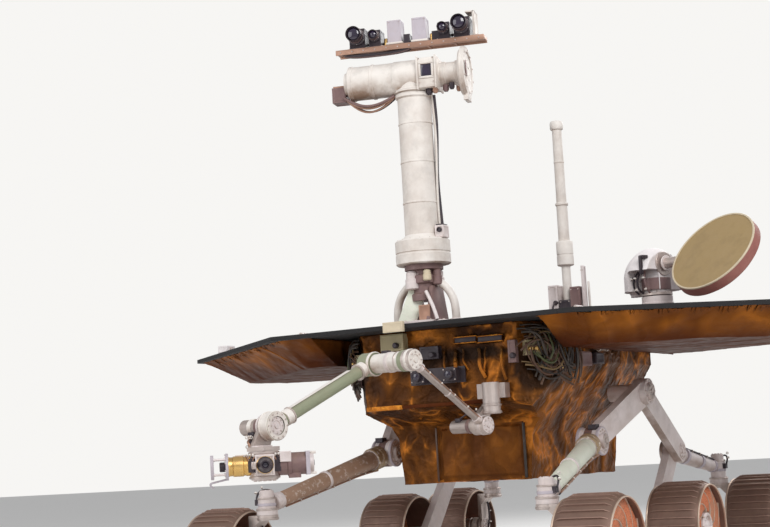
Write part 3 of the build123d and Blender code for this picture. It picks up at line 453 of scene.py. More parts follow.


# Which finish each node of the frame gets, by the start of its name
# The body cameras take the near-black camera finish, which at the front also paints the deep shade they
# sit in
NODE_FINISHES = (
    ("electronics_box", "film"), ("wing_frame", "film_dark"), ("equipment_deck", "cells"),
    ("deck_fittings", "metal"), ("wing_panel", "cells"), ("tail_panel", "cells"),
    ("mast_cameras", "camera"), ("mast_", "white"), ("camera_bar", "bar"), ("low_gain", "white"),
    ("whip", "white"), ("dish_", "white"), ("dish", "dish_side"), ("hazard", "camera"), ("rocker", "leg"),
    ("rear_beam", "leg"), ("knuckle", "metal"), ("wheel", "wheel"), ("forearm", "green"),
    ("arm_", "metal"), ("upper_arm", "metal"), ("wrist", "metal"), ("turret", "metal"),
    ("abrasion", "metal"), ("microscope", "metal"), ("iron_", "gold"), ("particle", "metal"),
)


# Finished pieces gather here until they are joined
LOOSE = []


def alone(piece):
    """Only this piece is selected and active."""
    bpy.ops.object.select_all(action="DESELECT")
    piece.select_set(True)
    bpy.context.view_layer.objects.active = piece


def dress(piece, finish):
    """The piece gets this finish alone."""
    piece.data.materials.clear()
    piece.data.materials.append(finish_of(finish))


def box(node):
    """Lowest and highest corner of a node in millimetres."""
    return [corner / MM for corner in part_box(node)]


def at(x, y, z):
    """Place moved by these lengths."""
    return Matrix.Translation((x, y, z))


def up(place, height):
    """The same place, higher along its Z axis."""
    return place @ at(0, 0, height)


def place_at(origin, along, across=None):
    """Place whose Z runs along a direction, with X as near as can be to another."""
    z = Vector(along).normalized()
    x = Vector(across or ((0, 0, 1) if abs(z.z) < 0.9 else (1, 0, 0)))
    x = (x - z * x.dot(z)).normalized()
    turn = Matrix((x, z.cross(x), z)).transposed().to_4x4()
    return Matrix.Translation(origin) @ turn


def metres(place):
    """The same place with its lengths in metres."""
    return Matrix.Scale(MM, 4) @ place @ Matrix.Scale(1 / MM, 4)


def flipped(place):
    """The same place with its Z turned the other way."""
    return place @ Matrix.Rotation(math.pi, 4, "X")


def drawn(name, points):
    """A chain of edges drawn from one vertex, all selected, left in edit mode."""
    bpy.ops.object.select_all(action="DESELECT")
    bpy.ops.mesh.primitive_plane_add(size=1)
    piece = bpy.context.object
    piece.name = name
    bpy.ops.object.mode_set(mode="EDIT")
    bpy.ops.mesh.select_all(action="SELECT")
    bpy.ops.mesh.merge(type="CENTER")
    bpy.ops.transform.translate(value=points[0])
    for before, after in zip(points, points[1:]):
        step = Vector(after) - Vector(before)
        bpy.ops.mesh.extrude_region_move(TRANSFORM_OT_translate={"value": step})
    bpy.ops.mesh.select_all(action="SELECT")
    return piece


def closed(piece, place, finish, bevel=0, smooth=32):
    """Ends edit mode, turns to metres, rounds the edges, and sets the place and the finish."""
    bpy.ops.mesh.select_all(action="SELECT")
    bpy.ops.mesh.remove_doubles(threshold=1e-3)
    bpy.ops.mesh.normals_make_consistent(inside=False)
    bpy.ops.object.mode_set(mode="OBJECT")
    piece.data.transform(Matrix.Scale(MM, 4))
    if bevel:
        edge = piece.modifiers.new("edge", "BEVEL")
        edge.width = bevel * MM
        edge.segments = 2
        edge.limit_method = "ANGLE"
        bpy.ops.object.modifier_apply(modifier=edge.name)
    bpy.ops.object.shade_smooth_by_angle(angle=math.radians(smooth))
    dress(piece, finish)
    piece.matrix_world = metres(place)
    bpy.ops.object.transform_apply(location=True, rotation=True, scale=True)
    LOOSE.append(piece)
    return piece


def turned(name, place, finish, profile, steps):
    """Lathe work: (radius, height) points spun about the place's Z axis."""
    piece = drawn(name, [(radius, 0, height) for radius, height in profile])
    bpy.ops.mesh.spin(steps=steps, angle=math.tau, center=(0, 0, 0), axis=(0, 0, 1))
    return closed(piece, place, finish)


def plate(name, place, finish, outline, depth, bevel=1.2):
    """A flat outline of (x, y) points, pushed out along the place's Z axis."""
    piece = drawn(name, [(x, y, 0) for x, y in outline])
    bpy.ops.mesh.edge_face_add()
    bpy.ops.mesh.select_all(action="SELECT")
    bpy.ops.mesh.extrude_region_move(TRANSFORM_OT_translate={"value": (0, 0, depth)})
    return closed(piece, place, finish, bevel)


def block(name, place, finish, size, bevel, panel=0):
    """A rounded housing about the place's origin; panel sinks the middle of each face."""
    bpy.ops.object.select_all(action="DESELECT")
    bpy.ops.mesh.primitive_cube_add(size=1)
    piece = bpy.context.object
    piece.name = name
    piece.scale = size
    bpy.ops.object.transform_apply(location=True, rotation=True, scale=True)
    bpy.ops.object.mode_set(mode="EDIT")
    bpy.ops.mesh.select_all(action="SELECT")
    if panel:
        bpy.ops.mesh.inset(thickness=panel * 3, depth=0, use_individual=True)
        bpy.ops.mesh.inset(thickness=panel * 0.4, depth=-panel * 0.5, use_individual=True)
    return closed(piece, place, finish, bevel)


def tube(name, place, finish, points, radius, sides=2):
    """A round bar, hose or wire along a smooth line by the given points."""
    bpy.ops.object.select_all(action="DESELECT")
    bpy.ops.curve.primitive_nurbs_path_add(radius=1)
    piece = bpy.context.object
    piece.name = name
    curve = piece.data
    curve.splines.clear()
    spline = curve.splines.new("NURBS")
    spline.points.add(len(points) - 1)
    for knot, point in zip(spline.points, points):
        knot.co = (*point, 1)
    spline.order_u = min(4, len(points))
    spline.use_endpoint_u = True
    curve.bevel_depth = radius
    curve.bevel_resolution = sides
    curve.use_fill_caps = True
    curve.resolution_u = 6
    bpy.ops.object.convert(target="MESH")
    bpy.ops.object.mode_set(mode="EDIT")
    return closed(bpy.context.object, place, finish, smooth=60)


def copied(piece, places):
    """The finished piece again at each place, each copy with its own mesh."""
    for place in places:
        copy = piece.copy()
        copy.data = piece.data.copy()
        copy.data.transform(metres(place))
        bpy.context.collection.objects.link(copy)
        LOOSE.append(copy)


def spread(piece, places):
    """Copies of a loose piece at these places, in its stead."""
    LOOSE.remove(piece)
    copied(piece, places)
    bpy.data.objects.remove(piece)


def ring_of(piece, count, start=0.0, about=Matrix()):
    """Copies of a loose piece at even turns about a place's Z axis, in its stead."""
    turns = [Matrix.Rotation(start + math.tau * index / count, 4, "Z") for index in range(count)]
    spread(piece, [about @ turn @ about.inverted() for turn in turns])


def joined(name):
    """All loose pieces as one, each with its own finish."""
    first = LOOSE[0]
    alone(first)
    for piece in LOOSE:
        piece.select_set(True)
    if len(LOOSE) > 1:
        bpy.ops.object.join()
    LOOSE.clear()
    first.name = name
    return first


def bolt_head(place, radius, finish):
    """One hexagonal bolt head."""
    height = radius * 0.9
    profile = [(0, 0), (radius, 0), (radius, height * 0.8), (radius * 0.8, height), (0, height)]
    return turned("bolt", place, finish, profile, 6)


def bolts(place, ring, count, radius, finish="metal"):
    """Bolt heads in a circle about the place's Z axis."""
    ring_of(bolt_head(place @ at(ring, 0, 0), radius, finish), count, about=place)


def bolt_row(places, radius):
    """Bolt heads at a list of places, each standing on its Z axis."""
    spread(bolt_head(Matrix(), radius, "metal"), places)


def finished(name, body, slot, *stands_for):
    """All loose pieces as one that rests on a body."""
    rest_on(joined(name), body, slot, *stands_for)


def rest_on(piece, body, slot, *stands_for):
    """The piece moves with a body and may stand for nodes; its slot is not used."""
    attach(piece, body)
    if stands_for:
        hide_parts(*stands_for)


def crumpled(name, node, finish, voxel, depth, size=1.0):
    """Copy of a node's solid as loose cloth or film, folded inwards from its surface."""
    piece = NODES[node].copy()
    piece.data = NODES[node].data.copy()
    piece.name = name
    piece.parent = None
    for key in list(piece.keys()):
        del piece[key]
    bpy.context.collection.objects.link(piece)
    bpy.ops.object.select_all(action="DESELECT")
    bpy.ops.object.empty_add()
    hanger = bpy.context.object
    hanger.scale = (size, size, size * 1.25)
    alone(piece)
    bpy.ops.object.mode_set(mode="EDIT")
    bpy.ops.mesh.select_all(action="SELECT")
    bpy.ops.mesh.remove_doubles(threshold=1e-5)
    bpy.ops.object.mode_set(mode="OBJECT")
    piece.data.remesh_voxel_size = voxel
    bpy.ops.object.voxel_remesh()
    loose = piece.vertex_groups.new(name="loose")
    top = max(vertex.co.z for vertex in piece.data.vertices)
    for vertex in piece.data.vertices:
        loose.add([vertex.index], min(1.0, (top - vertex.co.z) / 0.02), "REPLACE")
    # columns: kind of noise, size of the folds, share of the depth
    folds = (("HARD_NOISE", 0.16, 1.0), ("HARD_NOISE", 0.055, 0.45), ("SOFT_NOISE", 0.30, 0.9))
    for index, (kind, span, share) in enumerate(folds):
        pattern = bpy.data.textures.new(f"{name}_fold_{index}", "CLOUDS")
        pattern.noise_scale = span
        pattern.noise_type = kind
        pattern.noise_depth = 1
        fold = piece.modifiers.new("fold", "DISPLACE")
        fold.texture = pattern
        fold.texture_coords = "OBJECT"
        fold.texture_coords_object = hanger
        fold.mid_level = 0
        fold.vertex_group = "loose"
        fold.strength = -depth * share
        bpy.ops.object.modifier_apply(modifier=fold.name)
    bpy.data.objects.remove(hanger)
    bpy.ops.object.shade_smooth_by_angle(angle=math.radians(50))
    dress(piece, finish)
    return piece


class ROVER_OT_film(bpy.types.Operator):
    """Crumpled film blankets round the warm box and under the wings"""
    bl_idname = "rover.film"
    bl_label = "Film blankets"

    def execute(self, context):
        depth = context.scene.rover_sizes.crumple
        # columns: node, finish, size of a remeshed facet, size of the folds, share of the depth
        for node, finish, voxel, size, share in (
            ("electronics_box", "film", 0.0065, 1.0, 1.0),
            ("wing_frame_left", "film_dark", 0.010, 2.2, 0.8),
            ("wing_frame_right", "film_dark", 0.010, 2.2, 0.8),
        ):
            piece = crumpled(node + "_film", node, finish, voxel, depth * share, size)
            if finish == "film":
                piece.data.materials.append(finish_of("film_smooth"))
                for face in piece.data.polygons:
                    out, y, z = face.center
                    face.material_index = int(out > 0.13 and -0.084 < y < 0.184 and 0.30 < z < 0.452)
            rest_on(piece, "root", "gold_blanket", node)
        return {"FINISHED"}


# Wheel sizes, as the frame has them
WHEEL_RADIUS = 130
WHEEL_HALF_WIDTH = 80
CLEATS = 36
FLEXURES = 8


def wheel_rim():
    """Crowned tread band with rolled edges and its cleats."""
    barrel = WHEEL_RADIUS - 5.2
    edge = barrel - 6
    half = WHEEL_HALF_WIDTH
    outside = [
        (edge - 3.5, -half), (edge, -half), (edge + 0.8, -half + 2.5), (edge - 0.4, -half + 5),
        (barrel - 3, -half + 14), (barrel, -half + 26), (barrel + 0.4, 0),
        (barrel, half - 26), (barrel - 3, half - 14), (edge - 0.4, half - 5),
        (edge + 0.8, half - 2.5), (edge, half), (edge - 3.5, half),
    ]
    inside = [(edge - 3.5, half - 4), (edge - 2, half - 20), (edge - 2, -half + 20),
        (edge - 3.5, -half + 4), (edge - 3.5, -half)]
    band = turned("wheel_band", Matrix(), "wheel", outside + inside, 108)
    band.data.materials.append(finish_of("rim"))
    for face in band.data.polygons:
        face.material_index = int(abs(face.center.z) > (half - 5.5) * MM)
    outline = [(-half + 9, edge - 0.5), (-half + 13, edge + 4), (-half + 26, WHEEL_RADIUS - 0.3),
        (half - 26, WHEEL_RADIUS - 0.3), (half - 13, edge + 4), (half - 9, edge - 0.5)]
    across = place_at((0, -1.6, 0), (0, 1, 0), (0, 0, 1))
    cleat = plate("cleat", across, "wheel", outline, 3.2, 0.7)
    ring_of(cleat, CLEATS, math.pi / CLEATS)


def wheel_centre():
    """Foam, spiral flexures and the bolted hub inside the outboard edge."""
    hub_end = WHEEL_HALF_WIDTH - 14
    foam_face = hub_end - 4
    turned(
        "foam", Matrix(), "foam",
        [(46, foam_face - 30), (46, foam_face - 2), (50, foam_face), (80, foam_face + 3.5),
         (110, foam_face + 1), (115.5, foam_face - 2), (115.5, foam_face - 30), (46, foam_face - 30)],
        72,
    )
    line = []
    for index in range(9):
        share = index / 8
        radius = 36 + (116.5 - 36) * share ** 0.8
        turn = math.radians(75) * share
        line.append((radius * math.cos(turn), radius * math.sin(turn), hub_end - 20))
    flexure = drawn("flexure", line)
    bpy.ops.mesh.extrude_region_move(TRANSFORM_OT_translate={"value": (0, 0, 20)})
    bpy.ops.object.mode_set(mode="OBJECT")
    wall = flexure.modifiers.new("wall", "SOLIDIFY")
    wall.thickness = 2.6
    wall.offset = 0
    bpy.ops.object.modifier_apply(modifier=wall.name)
    bpy.ops.object.mode_set(mode="EDIT")
    flexure = closed(flexure, Matrix(), "rim", 0.6)
    ring_of(flexure, FLEXURES)
    turned(
        "hub", Matrix(), "leg",
        [(0, hub_end - 46), (36, hub_end - 46), (38, hub_end - 20), (38, hub_end - 3),
         (35.5, hub_end), (29, hub_end), (27, hub_end - 6), (16, hub_end - 6),
         (14, hub_end - 1), (6, hub_end + 1), (0, hub_end + 1)],
        48,
    )
    bolts(at(0, 0, hub_end - 6), 21.5, 8, 2.8)
    bolts(at(0, 0, hub_end - 0.5), 32, 12, 1.6)


class ROVER_OT_wheels(bpy.types.Operator):
    """Six wheels: crowned cleated rims, foam, spiral flexures and hubs"""
    bl_idname = "rover.wheels"
    bl_label = "Wheels"

    def execute(self, context):
        wheel_rim()
        wheel_centre()
        model = joined("wheel_model")
        for axle in AXLES:
            for side, sign in SIDES:
                name = f"wheel_{axle}_{side}"
                turn = Matrix.Rotation(random.Random(name).uniform(0, 0.17), 4, "Z")
                place = place_at(joint_point(f"spin_{axle}_{side}"), (0, sign, 0)) @ turn
                copied(model, [place])
                finished(name + "_fine", name, "wheel_metal", name)
        bpy.data.objects.remove(model)
        return {"FINISHED"}


def mast_place(z=0):
    """Upright place on the mast's axis."""
    axis = joint_point("mast_turn")
    return at(axis.x, axis.y, z)


DECK_TOP = box("equipment_deck")[1].z
LEAN_WIDTH = 52


class ROVER_OT_mast(bpy.types.Operator):
    """Mast tube with its collar, and the foot with hoop and brackets"""
    bl_idname = "rover.mast"
    bl_label = "Mast"

    def execute(self, context):
        low = box("mast_tube")[0].z
        top = box("mast_tube")[1].z
        collar = 77
        shaft = 47.5
        profile = [
            (0, low), (collar - 4, low), (collar, low + 3), (collar, low + 28),
            (collar - 1.5, low + 29.5), (collar - 1.5, low + 33), (collar, low + 34.5),
            (collar, low + 66), (collar - 4, low + 70), (shaft + 11, low + 70), (shaft + 8, low + 74),
            (shaft, low + 84),
        ]
        for seam in (1075, 1190, 1300):
            profile += [(shaft, seam - 3), (shaft + 1.4, seam - 2), (shaft + 1.4, seam + 2),
                (shaft, seam + 3)]
        profile += [(shaft, top - 14), (shaft + 5.5, top - 10), (shaft + 5.5, top - 1), (0, top)]
        turned("tube", mast_place(), "white", profile, 64)
        box_place = mast_place(low + 87) @ at(4, collar - 12, 0)
        block("collar_box", box_place, "leg", (34, 26, 34), 3, 1.5)
        block("collar_box_lid", up(box_place, 18.5), "camera", (28, 22, 5), 1)
        turned("socket", box_place @ place_at((17, 2, 4), (1, 0, 0)), "camera",
            [(0, 0), (7, 0), (7, 6), (5, 7), (5, 4), (0, 4)], 20)
        bolts(mast_place(low + 70.5), collar - 5.5, 16, 1.8, "white")
        wires = (("camera", 5.5, 0.0, 1.4), ("bar", 4, 0.11, 0.8), ("white", 3.5, -0.12, 1.1))
        for finish, radius, shift, sway in wires:
            line = []
            for index in range(9):
                share = index / 8
                turn = math.radians(108) + shift + 0.05 * sway * math.sin(share * 9)
                reach = shaft + radius + 3 * (1 + math.sin(share * 7 + shift * 9))
                line.append((reach * math.cos(turn), reach * math.sin(turn), top - 6 - 375 * share))
            tube("wire", mast_place(), finish, line, radius)
        finished("mast_tube_fine", "mast", "white_paint", "mast_tube")
        self.foot(low)
        return {"FINISHED"}

    def foot(self, low):
        """Foot plate, hoop, leaning green plate, bracket and the azimuth drive under the collar."""
        floor = mast_place(DECK_TOP)
        hoop, bar = 92, 11.5
        line = [(0, -hoop, 1)]
        for index in range(13):
            turn = math.pi * index / 12
            line.append((0, -hoop * math.cos(turn), 37 + hoop * math.sin(turn)))
        line.append((0, hoop, 1))
        neck = [(0, 67), (40, 67), (40, 85), (34, 89), (34, 112), (43, 116), (43, 136), (36, 139),
            (36, 150), (54, 153), (54, low - DECK_TOP - 0.5), (0, low - DECK_TOP - 0.5)]
        lean_top, lean_foot = Vector((20, -30, 112)), Vector((54, -60, 4))
        across = Vector((-0.49, 0.87, 0)) * LEAN_WIDTH / 2
        middle = (lean_top + lean_foot) / 2
        middle += Vector((-10, 17, -4))
        lean = floor @ place_at(middle, across.cross(lean_top - lean_foot), across)
        into = (floor.inverted() @ lean).inverted()
        corners = [into @ (end + side + Vector((-10, 17, -4))) for end, side in (
            (lean_top, across), (lean_top, -across), (lean_foot, -across), (lean_foot, across))]
        turned("foot", floor, "leg", [(0, 0), (74, 0), (74, 8), (70, 10), (0, 10)], 48)
        bolts(up(floor, 10), 66, 10, 3.4)
        tube("hoop", floor, "white", line, bar, 5)
        turned("neck", floor, "plum", neck, 48)
        bolts(up(floor, 139.5), 39.5, 8, 2)
        plate("lean", up(lean, -6), "pale_green", [(p.x, p.y) for p in corners], 12)
        bolt_row([lean @ at(p.x * 0.72, p.y * 0.84, 6) for p in corners], 2.6)
        for side in (-1, 1):
            foot = floor @ at(0, side * hoop, 0)
            turned("hoop_foot", foot, "leg", [(0, 0), (18, 0), (18, 7), (14, 12), (0, 12)], 28)
            bolts(up(foot, 7), 15.5, 4, 1.8)
            front = 58 if side > 0 else 4
            cheek = [(-58, 9), (front, 9), (front * 0.5, 106), (-30, 106)]
            upright = floor @ place_at((0, side * 34 + 6, 0), (0, -1, 0), (1, 0, 0))
            plate("cheek", upright, "plum", cheek, 12, 1.5)
        # columns: place about the neck in degrees, reach, bottom, height, radius, finish
        drives = (
            (-62, 40, 98, 52, 19, "leg"), (8, 46, 120, 30, 12, "cream"),
            (48, 46, 108, 44, 14, "plum"), (118, 44, 104, 50, 17, "leg"),
            (190, 42, 100, 50, 18, "metal"),
        )
        for turn, reach, bottom, height, radius, finish in drives:
            angle = math.radians(turn) + CAMERA_YAW
            stand = floor @ at(reach * math.cos(angle), reach * math.sin(angle), bottom)
            turned("drive", stand, finish, [(0, 0), (radius * 0.8, 0), (radius, 3),
                (radius, height * 0.55), (radius * 0.85, height * 0.6), (radius * 0.85, height * 0.9),
                (radius * 0.6, height), (0, height)], 24)
        tube("leg", floor, "leg", [(60, 64, 8), (52, 50.8, 45), (42, 24, 90)], 5.2)
        block("shade", floor @ at(40, 22, 30), "bar", (30, 34, 44), 2, 1)
        finished("mast_foot_fine", "root", "white_paint", "mast_base")


def head_place(x=0, y=0, z=0):
    """Place in the mast head's own frame: X where it looks, Y its left."""
    axis = Vector(JOINTS["camera_tilt"]["axis"])
    return place_at(joint_point("camera_tilt"), (0, 0, 1), axis.cross((0, 0, 1))) @ at(x, y, z)


def forward(x, y, z):
    """Place in the head's frame whose Z looks forward."""
    return head_place(x, y, z) @ place_at((0, 0, 0), (1, 0, 0), (0, 0, 1))


def along_y(place, y=0):
    """The same place with its Z turned to the left."""
    return place @ place_at((0, y, 0), (0, 1, 0), (0, 0, 1))


class ROVER_OT_head(bpy.types.Operator):
    """Periscope head across the mast's top"""
    bl_idname = "rover.head"
    bl_label = "Mast head"

    def execute(self, context):
        barrel, right, port_right, port_left, drive_left = 49, -181, 23, 79, 140
        middle = (port_right + port_left) / 2
        size = 86
        base = head_place()
        body = [(0, right - 14), (barrel - 16, right - 14), (barrel - 14, right - 6),
            (barrel - 6, right - 4), (barrel + 1, right), (barrel + 1, right + 10),
            (barrel - 1, right + 12), (barrel - 1, -118), (barrel + 1.2, -116), (barrel + 1.2, -110),
            (barrel - 1, -108), (barrel - 1, -52), (barrel + 1, -50), (barrel + 1, port_right),
            (0, port_right)]
        neck = [(0, -48.7), (46.5, -48.7), (46.5, -46), (53.5, -44), (53.5, -38), (47, -34), (44, 0),
            (0, 0)]
        drive = [(0, port_right), (34, port_right), (34, port_left + 6), (35.5, port_left + 8),
            (35.5, port_left + 18), (33, port_left + 20), (33, drive_left - 16), (36, drive_left - 14),
            (36, drive_left - 2), (0, drive_left)]
        turned("barrel", along_y(base), "white", body, 56)
        turned("neck", base, "white", neck, 48)
        turned("tilt_drive", along_y(base), "white", drive, 40)
        bolts(flipped(along_y(base, right + 0.3)), barrel - 3.5, 12, 2.2)
        bolts(up(base, -44), 50, 12, 1.6)
        block("port_block", head_place(12, middle, 0), "white", (size, port_left - port_right, size), 3)
        face = 12 + size / 2
        for y in (port_right + 2, port_left - 2):
            block("flange", head_place(12, y, 0), "white", (size + 8, 5, size + 8), 1.2)
        window = forward(face, middle, 6)
        block("window", up(window, 0.4), "lens", (34, 30, 1.6), 0.4)
        for x, y, wide, tall in ((20, 0, 6, 42), (-20, 0, 6, 42), (0, 18, 40, 6), (0, -18, 40, 6)):
            block("window_rim", window @ at(x, y, 1.2), "white", (wide, tall, 4.4), 0.8)
        bolt_row([window @ at(x, y, 0) for x in (-34, 34) for y in (-20, 20)], 2.4)
        block("end_box", head_place(-10, right - 34, -30), "plum", (50, 40, 44), 3, 2)
        block("end_box_lid", head_place(-10, right - 34, -6), "bar", (44, 34, 6), 1)
        block("end_arm", head_place(-6, right - 12, -22), "leg", (18, 30, 14), 1)
        # columns: finish, radius, sag, side shift of the strands under the barrel
        strands = (("camera", 4.2, 30, 10), ("bar", 3.6, 40, 26), ("camera", 3, 46, -6),
            ("plum", 3.6, 34, 36), ("bar", 3, 52, 16))
        for finish, radius, sag, shift in strands:
            line = [(shift * 0.5, right - 20, -40), (shift, right + 10, -44 - sag * 0.5),
                (shift, right + 45, -48 - sag), (shift * 0.8, -85, -50 - sag * 0.6),
                (shift * 0.6, -52, -50)]
            tube("strand", base, finish, line, radius)
        knots = ((30, 52, -46, 10, "camera"), (34, 70, -44, 8, "bar"), (12, 96, -38, 9, "plum"),
            (26, 116, -36, 8, "camera"), (-10, 128, -36, 7, "bar"))
        for x, y, z, radius, finish in knots:
            turned("plug", head_place(x, y, z), finish, [(0, -14), (radius * 0.6, -14), (radius, -8),
                (radius, 4), (radius * 0.7, 6), (0, 6)], 16)
        finished("mast_head_fine", "mast", "white_paint", "mast_head")
        return {"FINISHED"}


def camera_unit(y, floor, width, height, rise, radius, reach):
    """One camera on the bar: housing, collar, hooded barrel and lens."""
    mid = floor + height / 2
    snout = forward(19, y, floor + rise)
    block("housing", head_place(-6, y, mid + 0.3), "camera", (51.5, width, height), 3, 1.4)
    turned("barrel", snout, "camera", [(0, 0), (radius + 3, 0), (radius + 3, 6), (radius - 2, 8),
        (radius - 2, reach * 0.5), (radius, reach * 0.55), (radius, reach - 1), (radius - 1, reach),
        (radius - 2.4, reach - 2), (radius - 3, reach - 10), (0, reach - 10)], 36)
    turned("lens", up(snout, reach - 10.5), "lens", [(0, -1), (radius - 3.2, -1), (radius - 3.2, 0.6),
        (radius * 0.72, 5.2), (radius * 0.40, 8.2), (0, 9.2)], 32)
    turned("ring", up(snout, reach * 0.5), "plum", [(radius - 2, 0), (radius + 0.8, 0), (radius + 0.8, 3),
        (radius - 2, 3), (radius - 2, 0)], 36)
    bolts(up(snout, 6), radius + 0.8, 6, 1.4)
    block("foot", head_place(-4, y, floor + 2), "metal", (40, width + 8, 4), 1)


class ROVER_OT_cameras(bpy.types.Operator):
    """Tilting disc, camera bar, two camera pairs and their boxes"""
    bl_idname = "rover.cameras"
    bl_label = "Camera bar"

    def execute(self, context):
        disc_y = 140.5
        disc_end = disc_y + 20
        radius = 74
        axis = joint_point("camera_tilt").z
        bar_low = 1516 - axis
        bar_top = bar_low + 15
        long, wide = 430, 52
        disc = [(0, disc_y), (radius - 10, disc_y), (radius - 6, disc_y + 4), (radius, disc_y + 7),
            (radius, disc_y + 13), (radius - 5, disc_end - 1), (radius - 18, disc_end),
            (radius - 21, disc_end - 3), (30, disc_end - 3), (26, disc_end), (12, disc_end),
            (10, disc_end - 6), (0, disc_end - 6)]
        arm = [(-26, -10), (26, -10), (26, 60), (26, bar_low + 1), (-26, bar_low + 1), (-26, 60)]
        turned("disc", along_y(head_place()), "white", disc, 64)
        plate("arm", head_place() @ place_at((0, disc_end - 0.5, 0), (0, -1, 0), (-1, 0, 0)), "white",
            arm, 13, 1.5)
        bolts(along_y(head_place(), disc_end - 0.5), 60, 10, 2.6)
        block("notch", head_place(34, disc_end, 4), "plum", (13, 2.6, 44), 1)
        # the bar is a channel: a web with a lip along each long edge
        block("web", head_place(0, 0, bar_low + 9.5), "bar", (wide - 6, long, 10), 1)
        for side in (-1, 1):
            block("lip", head_place(side * (wide / 2 - 2.2), 0, bar_low + 7.5), "bar", (4.4, long, 15), 1)
        bolt_row([forward(wide / 2, -200 + 400 * index / 12, bar_low + 7) for index in range(13)], 2.2)
        for y in (-185, -60, 52, 128):
            block("rib", head_place(0, y, bar_low + 3), "bar", (wide - 4, 6, 4), 0.8)
        # columns: finish, radius, x and how far it hangs, of the cords under the right half
        hung = (("camera", 4.2, 16, 4), ("plum", 3.6, 4, 6), ("camera", 4, -9, 3))
        for finish, cord, x, drop in hung:
            line = [(x, -196, bar_low + 4), (x, -176, bar_low - drop), (x + 4, -120, bar_low - drop - 2),
                (x - 3, -66, bar_low - drop), (x, -20, bar_low - drop * 0.5), (x, -4, bar_low + 4)]
            tube("under_cord", head_place(), finish, line, cord)
        finished("camera_bar_fine", "camera_bar", "brown_bar", "camera_bar")
        # columns: y, housing width, height, height of the barrel, its radius and reach
        for y, width, height, rise, lens, reach in (
            (151.5, 46, 57, 34, 22, 47), (-151.5, 46, 57, 34, 22, 47),
            (100, 34, 48, 31, 14, 27), (-100, 34, 48, 31, 14, 27),
        ):
            camera_unit(y, bar_top, width, height, rise, lens, reach)
        mid = bar_top + 35
        for y in (-42, 30):
            block("box", head_place(0, y, mid + 0.3), "lilac", (44, 40, 69), 2, 1.6)
            block("box_foot", head_place(0, y, bar_top + 3.5), "white", (50, 48, 6), 1)
            bolt_row([forward(22.2, y + dy, mid + dz) for dy in (-16, 16) for dz in (-30, 30)], 1.6)
        for y in (-70, 64):
            turned("connector", head_place(4, y, bar_top + 10), "gold", [(0, -10), (7, -10), (7, 10),
                (5, 13), (0, 13)], 18)
        for y in (-8, 74):
            block("small_box", head_place(-2, y, bar_top + 14), "camera", (34, 18, 27), 2, 1)
        side = 184
        block("bracket", head_place(-6, side + 3, bar_top + 36), "white", (52, 6, 72), 1.2, 1.2)
        block("bracket_cap", head_place(-6, side - 7, bar_top + 70.5), "white", (52, 26, 5), 1)
        block("bracket_foot", head_place(-6, side + 4, bar_top + 3), "white", (46, 22, 5), 1)
        for index, finish in enumerate(("camera", "bar", "plum", "camera")):
            sway = 4 * (index % 2)
            line = [(-20 - sway, -140, bar_top + 20), (-26, -100, bar_top + 6 + index * 4),
                (-24 - sway, -10, bar_top + 10 + index * 3), (-26, 80, bar_top + 6 + index * 3),
                (-20, 140, bar_top + 22)]
            tube("lead", head_place(), finish, line, 2.6)
        finished("mast_cameras_fine", "camera_bar", "camera_black", "mast_cameras")
        return {"FINISHED"}


def arm_place(x=0, y=0, z=0):
    """Place in the arm's own frame: X along its plane, Y to its left, from its azimuth axis."""
    turn, lift = joint_point("arm_turn"), joint_point("arm_raise")
    ahead = Vector((lift.x - turn.x, lift.y - turn.y, 0))
    return place_at((turn.x, turn.y, lift.z), (0, 0, 1), ahead) @ at(x, y, z)


def in_arm(joint):
    """A joint's place in the arm's own frame."""
    return arm_place().inverted() @ joint_point(joint)


# Arm sizes, as the frame has them
ELBOW_OFFSET = 150
HUB_HALF = 13.5
SHOULDER_HUB = 25
ELBOW_HUB = 28
WRIST_RING = 35
WRIST_HALF = 17
FOREARM_RADIUS = 16.5
UPPER_ARM_RADIUS = 10


def collar(name, place, finish, inner, outer, height, edge=1):
    """A ring round a tube, standing on the place's Z axis."""
    profile = [(inner, 0), (outer - edge, 0), (outer, edge), (outer, height - edge),
        (outer - edge, height), (inner, height), (inner, 0)]
    return turned(name, place, finish, profile, 36)


def faced(place, radius, finish, count, bolt=2.6, depth=2.2):
    """A shallow end cover with a circle of bolts and a boss, on the place's Z axis."""
    turned("cover", place, finish, [
        (0, 0), (radius, 0), (radius, depth * 0.6), (radius - 1, depth), (radius * 0.52, depth),
        (radius * 0.48, depth * 0.4), (radius * 0.30, depth * 0.4), (radius * 0.26, depth * 1.6),
        (0, depth * 1.6)], 36)
    bolts(up(place, depth), radius * 0.76, count, bolt)


def strapped(line, finish, radius, about=Matrix()):
    """A cord along a line of a place's points, with a small tie at every inner one."""
    line = [about @ Vector(point) for point in line]
    tube("cord", Matrix(), finish, line, radius)
    for before, here, after in zip(line, line[1:], line[2:]):
        along = after - before
        place = place_at(here - along.normalized() * 2, along)
        collar("tie", place, "white", radius * 0.9, radius + 1.2, 4, 0.4)


